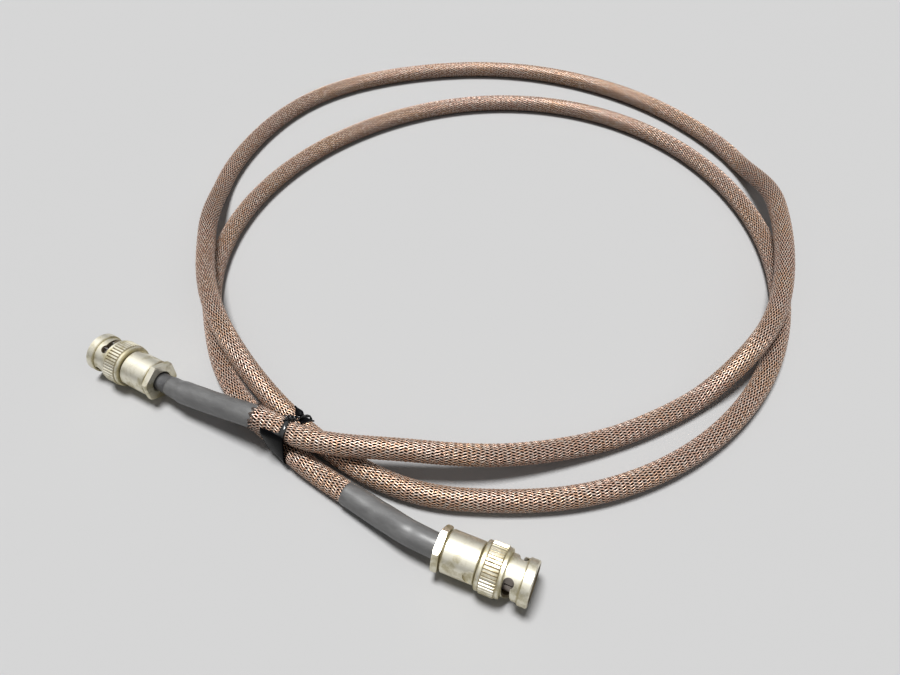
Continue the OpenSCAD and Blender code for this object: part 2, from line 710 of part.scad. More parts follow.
// Tight on the jacket over its first millimetres, then over the end of the sleeve
sleeve_a_at = shrink_a_at + 5;
sleeve_b_end = lead_b_l - jacket_end - 6;
shrink_b_end = lead_b_l - jacket_end - slip_gap;
shrink_b_at = shrink_b_end - shrink_b_l;
module shrink_tube(stops, tight) {
    color([0.22, 0.22, 0.23])
        hollow_tube(stops, [for (t = tight) (t ? tight_in_r : shrink_in_r) + shrink_wall],
            [for (t = tight) t ? tight_in_r : shrink_in_r], lead_sides);
}

// The tie crosses the bundle in an upright plane: a point of it and the way it runs, in degrees
tie_at = [0.9, 8.1];
tie_turn = 62;
tie_gap = 0.15;
tie_way = [cos(tie_turn), sin(tie_turn), 0];
tie_normal = [sin(tie_turn), -cos(tie_turn), 0];
function from_tie(p) = [p[0] - tie_at[0], p[1] - tie_at[1], p[2]];
// Where a path passes through the tie: [distance along its plane, height]
function passes(path) = [
    for (i = [0 : len(path) - 2])
        let (
            a = from_tie(path[i]),
            b = from_tie(path[i + 1]),
            off_a = a * tie_normal,
            off_b = b * tie_normal,
            p = a + (b - a) * off_a / (off_a - off_b)
        ) if (off_a * off_b <= 0 && norm([p[0], p[1]]) < 4 * sleeve_d) [p * tie_way, p[2]]
];
tie_strands = concat(passes(loop_points), passes([for (s = stretch_b(0, 4 * sleeve_d)) s[1]]));
// A strand leans across the plane, so its section there is this much wider than high
tie_stretch = 1.2;

module tie_outline(grow) {
    hull()
        for (strand = tie_strands)
            translate(strand) scale([tie_stretch, 1]) circle(r = sleeve_r + grow, $fn = 32);
}

// Flat strip of the tie's own material, from a point, turned on the plan and dipped
module tie_strip(at, turn, dip) {
    translate(at) rotate([0, 90 + dip, turn])
        translate([-tie_t / 2, -tie_w / 4, 0]) cube([tie_t, tie_w / 2, tie_end_l]);
}

// Flat band round the bundle, its two ends twisted together and turned aside
module twist_tie() {
    top = tie_strands[0];
    side = tie_strands[1];
    run = unit(side - top);
    out = [-run[1], run[0]];
    knot_from = (top + side) / 2 + (sleeve_r + tie_gap) * out;
    knot_l = 4.6;
    knot_w = 2.4;
    lean = 45;
    tilt = atan2(out[0], out[1]);
    knot_end = [knot_from[0] + (knot_l - 0.5) * cos(lean) * out[0], -(knot_l - 0.5) * sin(lean),
        knot_from[1] + (knot_l - 0.5) * cos(lean) * out[1]];
    color([0.05, 0.05, 0.06])
        translate([tie_at[0], tie_at[1], 0]) rotate([0, 0, tie_turn])
            union() {
                rotate([90, 0, 0])
                    linear_extrude(tie_w, center = true)
                        difference() {
                            tie_outline(tie_gap + tie_t);
                            tie_outline(tie_gap);
                        }
                translate([knot_from[0], 0, knot_from[1]]) rotate([0, tilt, 0]) rotate([lean, 0, 0])
                    linear_extrude(knot_l, twist = 540, slices = 18, segments = 4)
                        square([knot_w, 0.5 * knot_w], center = true);
                tie_strip(knot_end, 48, 15);
                tie_strip(knot_end, -73, 25);
            }
}

// One plug's piece by its plain name
module plug_piece(piece, nut_spin, ring_spin, body_spin) {
    if (piece == "coupling_ring") rotate([0, 0, ring_spin]) coupling_ring();
    if (piece == "thrust_washer") thrust_washer();
    if (piece == "wave_washer") wave_washer();
    if (piece == "retaining_ring") rotate([0, 0, body_spin]) retaining_ring();
    if (piece == "body") rotate([0, 0, body_spin]) plug_body();
    if (piece == "contact_sleeve") contact_sleeve();
    if (piece == "insulator") insulator();
    if (piece == "centre_pin") centre_pin();
    if (piece == "front_gasket") front_gasket();
    if (piece == "clamp_nut") rotate([0, 0, nut_spin]) clamp_nut();
    if (piece == "clamp_washer") clamp_washer();
    if (piece == "clamp_gasket") clamp_gasket();
    if (piece == "braid_clamp") braid_clamp();
    if (piece == "braid_end") braid_end();
    if (piece == "dielectric_end") dielectric_end();
    if (piece == "conductor_end") conductor_end();
}
plug_pieces = ["coupling_ring", "thrust_washer", "wave_washer", "retaining_ring", "body",
    "contact_sleeve", "insulator", "centre_pin", "front_gasket", "clamp_nut", "clamp_washer",
    "clamp_gasket", "braid_clamp", "braid_end", "dielectric_end", "conductor_end"];

module cable_core_a() {
    core_tube(stretch_a(0, lead_a_l), lead_sides);
}

module cable_core_loops() {
    core_tube(loop_stations, loop_sides);
}

module cable_core_b() {
    core_tube(stretch_b(0, lead_b_l), lead_sides);
}

module sleeve_a() {
    held = stretch_a(sleeve_a_at, shrink_a_end);
    loose = stretch_a(shrink_a_end, lead_a_l);
    stops = [each held, for (i = [1 : len(loose) - 1]) loose[i]];
    sleeve_tube(stops, lead_sides, [for (s = stops) swell(s[0])]);
}

module sleeve_loops() {
    echo(least_gap_of_the_loops_to_themselves_mm = loops_gap());
    echo(cable_length_mm = lead_a_l + lead_b_l + mileage(loop_points)[loop_count - 1]);
    sleeve_tube(loop_stations, loop_sides, [for (s = loop_stations) 0]);
}

module sleeve_b() {
    stops = stretch_b(0, sleeve_b_end);
    sleeve_tube(stops, lead_sides, [for (s = stops) 0]);
}

module heat_shrink_a() {
    stops = stretch_a(shrink_a_at, shrink_a_end);
    shrink_tube(stops, [for (s = stops) s[0] < sleeve_a_at - lead_step / 2]);
}

module heat_shrink_b() {
    stops = stretch_b(shrink_b_at, shrink_b_end);
    shrink_tube(stops, [for (s = stops) s[0] > sleeve_b_end + lead_step / 2]);
}

module plug_a_piece(piece) {
    on_plug(plug_a_at, plug_a_turn)
        plug_piece(piece, plug_a_nut_spin, plug_a_ring_spin, plug_a_body_spin);
}

module plug_b_piece(piece) {
    on_plug(plug_b_at, plug_b_turn)
        plug_piece(piece, plug_b_nut_spin, plug_b_ring_spin, plug_b_body_spin);
}

for (piece = plug_pieces) {
    plug_a_piece(piece);
    plug_b_piece(piece);
}
cable_core_a();
cable_core_loops();
cable_core_b();
sleeve_a();
sleeve_loops();
sleeve_b();
heat_shrink_a();
heat_shrink_b();
twist_tie();
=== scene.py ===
"""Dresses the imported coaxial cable: sleeved cord, heat shrinks, twist tie, nickel plugs and the stage."""

import bpy
import numpy as np
from mathutils import Matrix, Vector


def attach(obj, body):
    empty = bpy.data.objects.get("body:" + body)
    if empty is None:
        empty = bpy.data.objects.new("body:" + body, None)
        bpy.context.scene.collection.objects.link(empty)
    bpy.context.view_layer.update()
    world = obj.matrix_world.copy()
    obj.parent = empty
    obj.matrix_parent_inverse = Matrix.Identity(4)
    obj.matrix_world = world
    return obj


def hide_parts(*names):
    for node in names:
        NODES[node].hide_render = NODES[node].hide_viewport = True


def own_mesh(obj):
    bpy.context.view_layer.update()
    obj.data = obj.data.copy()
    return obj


bl_info = {
    "name": "Sleeved Coaxial Cable",
    "version": (1, 0, 0),
    "blender": (4, 5, 0),
    "location": "View3D > Sidebar > Cable",
    "description": "Builds the sleeved cord, heat shrinks, twist tie and plug finishes of a looped coaxial cable",
    "category": "Object",
}

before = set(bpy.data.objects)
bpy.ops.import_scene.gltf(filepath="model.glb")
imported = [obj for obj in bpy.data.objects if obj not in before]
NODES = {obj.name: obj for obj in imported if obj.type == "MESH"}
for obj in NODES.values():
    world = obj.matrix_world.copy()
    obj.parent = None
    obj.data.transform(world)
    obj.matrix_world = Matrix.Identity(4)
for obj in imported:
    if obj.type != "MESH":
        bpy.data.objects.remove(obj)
BODY = "cable_and_plugs"
MM = 0.001

# The route, in millimetres and degrees, as the CAD source gives it
SLEEVE_D = 7.0
CROSSING_RISE = 7.6
TIE_LIFT = 0.8
AXIS_HEIGHT = 7.25
JACKET_END = 8.10
LOOP_START, LOOP_END = -120.0, 585.0
LOOP_ONE = (64.4, 114.5, 114.5)
LOOP_TWO = (67.9, 90.0, 106.3)
OVAL = (1.4, 44.0)
LOBES = (1.1, 66.0)
CHANGE = (204.0, 260.0)
BENDS = (
    (-120, 15, -7.5, -10), (-96, 14, -1, -3), (-32, 18, -1, -6), (10, 18, 2, 2), (60, 20, 0, -1),
    (130, 24, -4, 4), (188, 18, 5, 2), (212, 12, 0.5, 0), (226, 10, -0.5, 0.5), (250, 12, 0, -1),
    (268, 14, 2, 0.5), (558, 12, -0.5, 3), (572, 10, -2, 0), (585, 10, 0, -3.5),
)
HUMPS = ((-400, -399, -106, -70), (-58, -37, -5, 15), (168, 190, 215, 237))
LIFTS = ((-120, 16), (233, 12), (585, 14))
PLUGS = {"a": ((-45.2, 28.5), 150.0), "b": ((44.9, -30.5), -24.0)}
STRAIGHT = {"a": 4.0, "b": 1.5}
LEAD_A_FREE = ((-35.9, 23.1, 7.8), (-28.6, 19.4, 8.8), (-21.6, 15.8, 10.1), (-16.1, 13.1, 11.2), (-11.6, 10.9, 11.8))
LEAD_B_FREE = (
    (2.7, -0.1, 4.1), (9.3, -5.3, 3.5), (16.6, -10.7, 3.7), (23.4, -15.8, 4.4), (29.8, -20.7, 5.4),
    (36.3, -25.6, 6.6),
)
# Where the tie's upright plane stands, and the way it runs on the plan
TIE_AT = np.array([0.9, 8.1, 0.0])
TIE_RUN = np.array([np.cos(np.radians(62.0)), np.sin(np.radians(62.0)), 0.0])
TIE_SQUARE = np.array([-TIE_RUN[1], TIE_RUN[0], 0.0])
UP = np.array([0.0, 0.0, 1.0])
FLOOR_REACH = 3000.0
# Radii and sides of the pieces round the cable, in millimetres
JACKET_RADIUS = 3.05
SHRINK_BORE = 2.95
CORD_SIDES, STRAND_SIDES, LOOP_SIDES, SHRINK_SIDES, RIBBON_SIDES, RING_SIDES = 24, 6, 5, 48, 12, 96
BAND_STEPS = 240
# On a plug, in metres: its tarnished lines as places from its rear and half widths; fades of the painted shade at
# both ends of the knurl and at the bore's mouth, from its rear; fades of the painted shade down the knurl's grooves
# and at the bore's wall, from its axis
TARNISH_LINES = (
    (0.0022, 0.0005), (0.0126, 0.0007), (0.0139, 0.0004), (0.0185, 0.0005), (0.0197, 0.0006), (0.0244, 0.0005),
)
KNURL_REAR, KNURL_FRONT, MOUTH = (0.0138, 0.0140), (0.0184, 0.0186), (0.0187, 0.0189)
GROOVES, BORE_WALL = (0.00694, 0.00722), (0.0056, 0.0060)


def eased(x, a, b):
    """Smooth step: t = (x - a) / (b - a) held between 0 and 1, then t squared times (3 - 2t)."""
    t = np.clip((np.asarray(x, float) - a) / (b - a), 0, 1)
    return t * t * (3 - 2 * t)


def bell(x, centre, width):
    """Bell of height 1: e to the power of minus the square of (x - centre) / width."""
    return np.exp(-(((x - centre) / width) ** 2))


def unit(v):
    """Each vector divided by its length."""
    return v / np.linalg.norm(v, axis=-1, keepdims=True)


def round_turn(count):
    """Angles of count even steps once round, in radians."""
    return np.arange(count) / count * 2 * np.pi


def spokes(first, second, turn):
    """Directions at the angles turn: the cosine of turn times the first, plus the sine times the second."""
    return first * np.cos(turn)[..., None] + second * np.sin(turn)[..., None]


def mileage(points):
    """Distance along the chords from the first point to each."""
    return np.concatenate([[0], np.cumsum(np.linalg.norm(np.diff(points, axis=0), axis=1))])


def read_off(s, at, line):
    """The line's values at the distances s, on the straight between those it has at the distances at."""
    return np.stack([np.interp(s, at, column) for column in line.T], -1)


def loop_points(angle):
    """Points of the looped path: a circle that passes into a slightly oval, three-sided one between the angles of
    CHANGE, plus a bell for each bend, and a height that rises by humps where the cable lies over itself."""
    angle = np.asarray(angle, float)
    turn = np.radians(angle)
    way = np.column_stack([np.cos(turn), np.sin(turn)])
    change = eased(angle, *CHANGE)[:, None]
    radius = (
        LOOP_TWO[2]
        + OVAL[0] * np.cos(2 * np.radians(angle - OVAL[1]))
        + LOBES[0] * np.cos(3 * np.radians(angle - LOBES[1]))
    )
    one = np.array(LOOP_ONE[:2]) + LOOP_ONE[2] * way
    two = np.array(LOOP_TWO[:2]) + radius[:, None] * way
    plan = (1 - change) * one + change * two
    for centre, width, dx, dy in BENDS:
        plan = plan + bell(angle, centre, width)[:, None] * np.array([dx, dy])
    hump = sum(eased(angle, a, b) - eased(angle, c, d) for a, b, c, d in HUMPS)
    lift = sum(bell(angle, centre, width) for centre, width in LIFTS)
    return np.column_stack([plan, SLEEVE_D / 2 + CROSSING_RISE * hump + TIE_LIFT * lift])


def plug_axes(plug):
    """A plug's nut face on its axis, and its three directions: across, up the turn, and forward along the axis."""
    (x, y), turn = PLUGS[plug]
    c, s = np.cos(np.radians(turn)), np.sin(np.radians(turn))
    return np.array([x, y, AXIS_HEIGHT]), np.array([0, 0, -1.0]), np.array([-s, c, 0]), np.array([c, s, 0])


def through(points, first, last, step=0.2):
    """Cubic curve through points: on each chord the slopes at its ends are those between the neighbouring points,
    by the distance along the chords, with the given slopes at the two ends."""
    at = mileage(points)
    slopes = np.vstack([first, (points[2:] - points[:-2]) / (at[2:] - at[:-2])[:, None], last])
    s = np.arange(0, at[-1], step)
    i = np.clip(np.searchsorted(at, s, "right") - 1, 0, len(points) - 2)
    span = (at[i + 1] - at[i])[:, None]
    t = (s - at[i])[:, None] / span
    return (
        (2 * t**3 - 3 * t**2 + 1) * points[i]
        + (t**3 - 2 * t**2 + t) * slopes[i] * span
        + (3 * t**2 - 2 * t**3) * points[i + 1]
        + (t**3 - t**2) * slopes[i + 1] * span
    )


def centre_line():
    """The whole cable's centre line from jacket end to jacket end, sampled evenly every half millimetre: lead A, the
    loops and lead B joined end to end."""
    starts, ends = loop_points([LOOP_START, LOOP_START + 1]), loop_points([LOOP_END - 1, LOOP_END])
    way_in, way_out = unit(starts[1] - starts[0]), unit(ends[1] - ends[0])
    first, last = starts[0] - SLEEVE_D * way_in, ends[1] + SLEEVE_D * way_out
    nut_a, _, _, ahead_a = plug_axes("a")
    nut_b, _, _, ahead_b = plug_axes("b")
    lead_a = np.vstack([nut_a + JACKET_END * ahead_a, nut_a, nut_a - STRAIGHT["a"] * ahead_a, LEAD_A_FREE, first])
    lead_b = np.vstack([last, LEAD_B_FREE, nut_b - STRAIGHT["b"] * ahead_b, nut_b, nut_b + JACKET_END * ahead_b])
    rise = np.linspace(0, 1, 30, endpoint=False)[:, None]
    loops = loop_points(np.arange(LOOP_START, LOOP_END, 0.1))
    line = np.vstack([
        through(lead_a, -ahead_a, way_in), first + rise * (starts[0] - first), loops,
        ends[1] + rise * (last - ends[1]), through(lead_b, way_out, ahead_b), lead_b[-1],
    ])
    at = mileage(line)
    s = np.linspace(0, at[-1], int(at[-1] * 2) + 1)
    return s, read_off(s, at, line)


LINE_S, LINE = centre_line()
LINE_WAY = unit(np.gradient(LINE, axis=0))
CABLE_L = LINE_S[-1]

# Stations along the cable, in millimetres from the jacket's end in plug A
SHRINK_A = (12.10, 48.50)
SHRINK_B = (CABLE_L - 41.15, CABLE_L - 8.15)
MESH_ENDS = (SHRINK_A[1] - 1.5, CABLE_L - 39.5)
BARE_TO, BARE_FROM = SHRINK_A[0] + 6, CABLE_L - 15


def stations(s):
    """Points of the centre line at the distances s, with the directions sideways, upward and along the cable: the
    first is level, the second is square to the other two."""
    along = unit(read_off(s, LINE_S, LINE_WAY))
    side = unit(np.cross(along, UP))
    return read_off(s, LINE_S, LINE), side, np.cross(side, along), along


def grid_faces(rows, columns, close_rows=False):
    """Quads of a grid whose columns close on themselves, and whose rows do too where close_rows says so."""
    i, j = np.divmod(np.arange((rows if close_rows else rows - 1) * columns), columns)
    n, m = (i + 1) % rows, (j + 1) % columns
    return np.stack([i * columns + j, n * columns + j, n * columns + m, i * columns + m], 1)


def tube_faces(count, rows, corners):
    """Walls and end caps of count closed tubes, one after the other, each of that many rows of corners."""
    step = (np.arange(count) * rows * corners)[:, None, None]
    walls = (grid_faces(rows, corners)[None] + step).reshape(-1, 4)
    caps = np.stack([np.arange(corners), (rows - 1) * corners + np.arange(corners)[::-1]])
    return walls, (caps[None] + step).reshape(-1, corners)


def put_mesh(name, points, faces, uvs=None, finishes=(), finish_of=None, smooth=True):
    """Puts points, in millimetres, and one array of faces for each number of corners into an object at the origin.
    Quads are smooth and end caps flat."""
    mesh = bpy.data.meshes.new(name)
    mesh.from_pydata((points.reshape(-1, 3) * MM).tolist(), [], [face for block in faces for face in block.tolist()])
    sizes = np.concatenate([np.full(len(block), block.shape[1]) for block in faces])
    mesh.polygons.foreach_set("use_smooth", (sizes == 4) & smooth)
    if finish_of is not None:
        mesh.polygons.foreach_set("material_index", np.asarray(finish_of, np.int32))
    if uvs:
        layer = mesh.uv_layers.new(name="UVMap")
        layer.data.foreach_set("uv", np.concatenate([u.reshape(-1, 2) for u in uvs]).astype(np.float32).ravel())
    for finish in finishes:
        mesh.materials.append(finish)
    mesh.validate()
    piece = bpy.data.objects.new(name, mesh)
    bpy.context.scene.collection.objects.link(piece)
    return piece


def seat(piece, body=BODY, stands_for=()):
    """Makes a new piece ride on its body and stand for its CAD nodes."""
    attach(piece, body)
    if stands_for:
        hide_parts(*stands_for)


def shell(name, s, outer, bore, finish):
    """Hollow tube along the cable: its outer wall out along s and its bore back, so the profile closes."""
    rows, sides = outer.shape
    point, side, up, _ = stations(np.concatenate([s, s[::-1]]))
    radius = np.vstack([outer, np.full(outer.shape, bore)])
    points = point[:, None] + radius[..., None] * spokes(side[:, None], up[:, None], round_turn(sides))
    return put_mesh(name, points, [grid_faces(2 * rows, sides, True)], None, [finish])


# Node trees
COLOUR, FLOAT, VECTOR = "NodeSocketColor", "NodeSocketFloat", "NodeSocketVector"


class Tree:
    """Small hand for building a node tree: each call adds a node, fills its inputs and returns what it puts out."""

    def __init__(self, tree):
        self.tree = tree

    def fill(self, socket, value):
        """Links an output to the socket, or sets the socket's own value."""
        if isinstance(value, bpy.types.NodeSocket):
            self.tree.links.new(value, socket)
        else:
            socket.default_value = value

    def add(self, kind, inputs=None, **settings):
        node = self.tree.nodes.new(kind)
        for key, value in settings.items():
            setattr(node, key, value)
        for key, value in (inputs or {}).items():
            self.fill(node.inputs[key], value)
        return node

    def maths(self, operation, a, b=0.0):
        return self.add("ShaderNodeMath", {0: a, 1: b}, operation=operation).outputs[0]

    def times(self, a, b):
        return self.maths("MULTIPLY", a, b)

    def plus(self, a, b):
        return self.maths("ADD", a, b)

    def minus(self, a, b):
        return self.maths("SUBTRACT", a, b)

    def products(self, a, b, c, d):
        """A times b, plus c times d."""
        return self.plus(self.times(a, b), self.times(c, d))

    def coordinates(self, kind):
        return self.add("ShaderNodeTexCoord").outputs[kind]

    def split(self, vector):
        """The vector's three parts."""
        return list(self.add("ShaderNodeSeparateXYZ", {"Vector": vector}).outputs)

    def between(self, value, low, high, to_low=0.0, to_high=1.0, kind="SMOOTHSTEP"):
        """Value carried from low..high to to_low..to_high, and held there."""
        inputs = {"Value": value, "From Min": low, "From Max": high, "To Min": to_low, "To Max": to_high}
        return self.add("ShaderNodeMapRange", inputs, interpolation_type=kind).outputs["Result"]

    def mix(self, share, a, b):
        """Colour a where share is 0 and colour b where it is 1."""
        return self.add("ShaderNodeMix", {0: share, 6: a, 7: b}, data_type="RGBA").outputs[2]

    def noise(self, vector, scale, detail, rough=0.5):
        inputs = {"Vector": vector, "Scale": scale, "Detail": detail, "Roughness": rough}
        return self.add("ShaderNodeTexNoise", inputs).outputs["Fac"]

    def drift(self, vector, scale, a, b):
        """Colours a and b, which pass into one another in patches of the given scale."""
        return self.mix(self.between(self.noise(vector, scale, 3.0, 0.6), 0.35, 0.65), (*a, 1), (*b, 1))

    def bump(self, shader, height, strength, depth):
        """Turns the shader's normal by the height."""
        node = self.add("ShaderNodeBump", {"Strength": strength, "Distance": depth, "Height": height})
        self.fill(shader["Normal"], node.outputs["Normal"])


def new_group(name, inputs):
    """New shader group with inputs of the given names and kinds besides the vector and the two ends of roughness,
    and a colour, a roughness and a height as outputs. Gives the group, the hand for its tree, and both."""
    group = bpy.data.node_groups.new(name, "ShaderNodeTree")
    inputs = {"Vector": VECTOR, **inputs, "Rough Low": FLOAT, "Rough High": FLOAT}
    outputs = {"Colour": COLOUR, "Roughness": FLOAT, "Height": FLOAT}
    for way, sockets in (("INPUT", inputs), ("OUTPUT", outputs)):
        for label, kind in sockets.items():
            group.interface.new_socket(name=label, in_out=way, socket_type=kind)
    hand = Tree(group)
    return group, hand, hand.add("NodeGroupInput").outputs, hand.add("NodeGroupOutput").inputs


def plated_group():
    """Plated metal that was turned on a lathe. It is tarnished in blotches and in the rings named by how far they are
    from the plug's rear, and the same colour is laid on more strongly towards the floor side as painted shade.
    Painted shade lies in the knurl's grooves and in the ring's bore, told by how far they are from the axis. Fine
    rings and pits roughen it."""
    inputs = {"Bright": COLOUR, "Tarnish_And_Shade": COLOUR, "Amount": FLOAT, "Hollow_Shade": FLOAT}
    group, t, given, out = new_group("Plated Metal", inputs)
    vector = given["Vector"]
    x, y, z = t.split(vector)
    blotch, fine = t.noise(vector, 260.0, 4.0, 0.6), t.noise(vector, 1500.0, 3.0, 0.6)
    rings = t.add("ShaderNodeTexNoise", {"W": x, "Scale": 2600.0, "Detail": 2.0}, noise_dimensions="1D")
    # Painted shade: the plate is darker towards the floor side, laid on in the tarnished colour.
    under = t.between(z, -0.006, 0.003, 1.0, 0.0)
    grime = 0.0
    for station, width in TARNISH_LINES:
        near = t.maths("ABSOLUTE", t.minus(x, station))
        grime = t.maths("MAXIMUM", grime, t.between(near, 0.0, width, 1.0, 0.0))
    from_axis = t.maths("SQRT", t.products(y, y, z, z))
    knurl = t.times(t.between(x, *KNURL_REAR), t.between(x, *KNURL_FRONT, 1.0, 0.0))
    # Painted shade in the knurl's grooves and inside the ring's bore, found by distance from the axis.
    groove = t.times(knurl, t.between(from_axis, *GROOVES, 1.0, 0.0))
    bore = t.times(t.between(x, *MOUTH), t.between(from_axis, *BORE_WALL, 1.0, 0.0))
    hollow_shade = t.times(t.maths("MAXIMUM", groove, bore), given["Hollow_Shade"])
    # Tarnished blotches and lines, plus the painted shade towards the floor side.
    stain_and_shade = t.plus(t.between(blotch, 0.42, 0.7), t.products(grime, 0.75, under, 0.9))
    share = t.times(t.maths("MINIMUM", stain_and_shade, 1.0), given["Amount"])
    colour = t.mix(share, given["Bright"], given["Tarnish_And_Shade"])
    worn = t.mix(t.times(t.between(fine, 0.5, 0.75), 0.12), colour, (0.95, 0.94, 0.9, 1))
    rough = t.products(share, 0.7, fine, 0.3)
    rough = t.between(rough, 0.0, 1.0, given["Rough Low"], given["Rough High"], "LINEAR")
    height = t.products(rings.outputs["Fac"], 0.6, fine, 0.4)
    # The dark brown laid in the grooves and the bore is painted shade.
    for socket, value in zip(out, (t.mix(hollow_shade, worn, (0.16, 0.115, 0.07, 1)), rough, height)):
        t.fill(socket, value)
    return group


def moulded_group():
    """Moulded or drawn plastic and rubber: broad cloudy change of tone, fine grain, and dust in specks."""
    inputs = {"Colour": COLOUR, "Pale": COLOUR, "Scale": FLOAT, "Cloud": FLOAT, "Dust": FLOAT}
    group, t, given, out = new_group("Moulded Surface", inputs)
    vector, scale = given["Vector"], given["Scale"]
    cloud = t.noise(vector, scale, 4.0, 0.6)
    grain = t.noise(vector, t.times(scale, 9.0), 3.0, 0.65)
    specks = t.between(t.noise(vector, t.times(scale, 5.0), 2.0), 0.64, 0.74)
    share = t.products(t.between(cloud, 0.35, 0.7), given["Cloud"], specks, given["Dust"])
    rough = t.products(cloud, 0.5, grain, 0.5)
    rough = t.between(rough, 0.3, 0.7, given["Rough Low"], given["Rough High"], "LINEAR")
    for socket, value in zip(out, (t.mix(share, given["Colour"], given["Pale"]), rough, grain)):
        t.fill(socket, value)
    return group


def surface(name, metallic=0.0, specular=0.5):
    """New material with a plain surface: the material, the hand for its tree and the inputs of its shader."""
    material = bpy.data.materials.new(name)
    material.use_nodes = True
    shader = material.node_tree.nodes["Principled BSDF"].inputs
    shader["Metallic"].default_value = metallic
    shader["Specular IOR Level"].default_value = specular
    return material, Tree(material.node_tree), shader


def lay_on(hand, shader, maker, name, values, rough, bump, depth):
    """Lays the group of that name, made on first use, on the shader: its colour, its roughness and its bump."""
    values = {**values, "Rough Low": rough[0], "Rough High": rough[1]}
    made = hand.add("ShaderNodeGroup", values, node_tree=bpy.data.node_groups.get(name) or maker()).outputs
    hand.fill(shader["Base Color"], made["Colour"])
    hand.fill(shader["Roughness"], made["Roughness"])
    hand.bump(shader, made["Height"], bump, depth)


def plated(name, plug, bright, tarnish_and_shade, amount, rough=(0.32, 0.52), bump=0.12, hollow_shade=0.0):
    """Plated metal material of one plug, its pattern laid along the plug: X forward on the axis from its rear."""
    material, hand, shader = surface(f"{name} {plug.upper()}", metallic=0.85)
    place = {"Vector": hand.coordinates("Object"), "Location": tuple(plug_axes(plug)[0] * MM),
             "Rotation": (0, 0, np.radians(PLUGS[plug][1]))}
    vector = hand.add("ShaderNodeMapping", place, vector_type="TEXTURE").outputs["Vector"]
    values = {"Vector": vector, "Bright": (*bright, 1), "Tarnish_And_Shade": (*tarnish_and_shade, 1), "Amount": amount, "Hollow_Shade": hollow_shade}
    lay_on(hand, shader, plated_group, "Plated Metal", values, rough, bump, 0.00004)
    return material


def moulded(name, colour, pale, scale, cloud, dust, rough, bump=0.2, stretch=None, specular=0.5):
    """Plastic or rubber material; stretch draws its pattern out, as a turn on the plan and a scale for each axis."""
    material, hand, shader = surface(name, specular=specular)
    vector = hand.coordinates("Object")
    if stretch:
        place = {"Vector": vector, "Rotation": (0, 0, stretch[0]), "Scale": stretch[1]}
        vector = hand.add("ShaderNodeMapping", place, vector_type="TEXTURE").outputs["Vector"]
    values = {"Vector": vector, "Colour": (*colour, 1), "Pale": (*pale, 1), "Scale": scale, "Cloud": cloud,
              "Dust": dust}
    lay_on(hand, shader, moulded_group, "Moulded Surface", values, rough, bump, 0.00006)
    return material


def braid_finish(settings):
    """Copper-brown braid. UV counts the mesh's cells along and round the cable. Flat tows cross in the windows of the
    mesh, each with its wires as fine ridges; colour drifts slowly along the cable. The middles of the tows and their
    wires are painted highlight, and the gaps between tows and the edges of the windows under the mesh's strands are
    painted shade."""
    material, t, shader = surface("Copper Braid Sleeve", metallic=0.55)
    along, about, _ = t.split(t.coordinates("UV"))
    p, q = t.plus(about, along), t.minus(about, along)
    in_p, in_q = t.maths("FRACT", p), t.maths("FRACT", q)
    above_zero = 4000.0
    parity = t.maths("MODULO", t.plus(t.maths("FLOOR", p), t.plus(t.maths("FLOOR", q), above_zero)), 2.0)
    odd = t.maths("GREATER_THAN", parity, 0.5)
    across = t.products(odd, in_p, t.minus(1.0, odd), in_q)
    dome = t.maths("SINE", t.times(across, np.pi))
    wires = t.maths("ABSOLUTE", t.maths("SINE", t.times(across, np.pi * 5)))
    edge_p, edge_q = (t.maths("MINIMUM", f, t.minus(1.0, f)) for f in (in_p, in_q))
    window = t.between(t.maths("MINIMUM", edge_p, edge_q), 0.04, 0.24)
    vector = t.coordinates("Object")
    fleck = t.noise(vector, 900.0, 2.0)
    tone = t.drift(vector, 45.0, settings.braid_colour, settings.braid_warm)
    tone = t.mix(t.between(fleck, 0.45, 0.7, 0.0, 0.45), tone, (*settings.braid_pale, 1))
    # Painted highlight in the middles of the tows and on their wires; painted shade at the tows' edges and under the
    # mesh's strands.
    lit = t.times(window, t.between(dome, 0.1, 0.9, 0.35, 1.0))
    lit = t.times(lit, t.between(wires, 0.0, 0.8, 0.6, 1.0))
    t.fill(shader["Base Color"], t.mix(lit, (*settings.braid_painted_shade, 1), tone))
    t.fill(shader["Roughness"], t.between(fleck, 0.3, 0.7, 0.32, 0.5))
    t.bump(shader, t.products(dome, window, wires, 0.25), 0.8, 0.0002)
    return material


def strand_finish(settings):
    """Clear monofilament over the copper-brown layer. Its UV gives how far up the weave a point lies and how far out
    on the strand: crests that go over are bright copper-beige, partly the strands' colour and partly painted
    highlight, and flanks and dips where a strand goes under are painted shade. Tone drifts slowly along the cable,
    and pale flecks on the crests are painted glints."""
    material, t, shader = surface("Monofilament", metallic=0.45)
    over, outward, _ = t.split(t.coordinates("UV"))
    # Crest mask: painted highlight on the outward side of strands that go over, painted shade elsewhere.
    crest = t.times(t.between(outward, 0.55, 0.92), t.between(over, 0.1, 0.8, 0.12, 1.0))
    vector = t.coordinates("Object")
    fleck = t.noise(vector, 1200.0, 2.0)
    tone = t.drift(vector, 60.0, settings.strand_colour, settings.strand_warm)
    tone = t.mix(t.between(fleck, 0.4, 0.65, 0.0, 0.85), tone, (*settings.strand_painted_glint, 1))
    t.fill(shader["Base Color"], t.mix(crest, (*settings.strand_painted_shade, 1), tone))
    t.fill(shader["Roughness"], t.between(fleck, 0.3, 0.7, 0.2, 0.34))
    return material


# Sizes and colours that a user would change


def colour_property(label, description, default):
    return bpy.props.FloatVectorProperty(
        name=label, description=description, subtype="COLOR", size=3, min=0, max=1, default=default
    )


def number_property(label, description, default, **more):
    return bpy.props.FloatProperty(name=label, description=description, default=default, **more)


def length_property(label, description, default):
    return number_property(label, description, default, min=0.0, unit="LENGTH", precision=5)


def angle_property(label, description, degrees):
    return number_property(label, description, float(np.radians(degrees)), subtype="ANGLE")


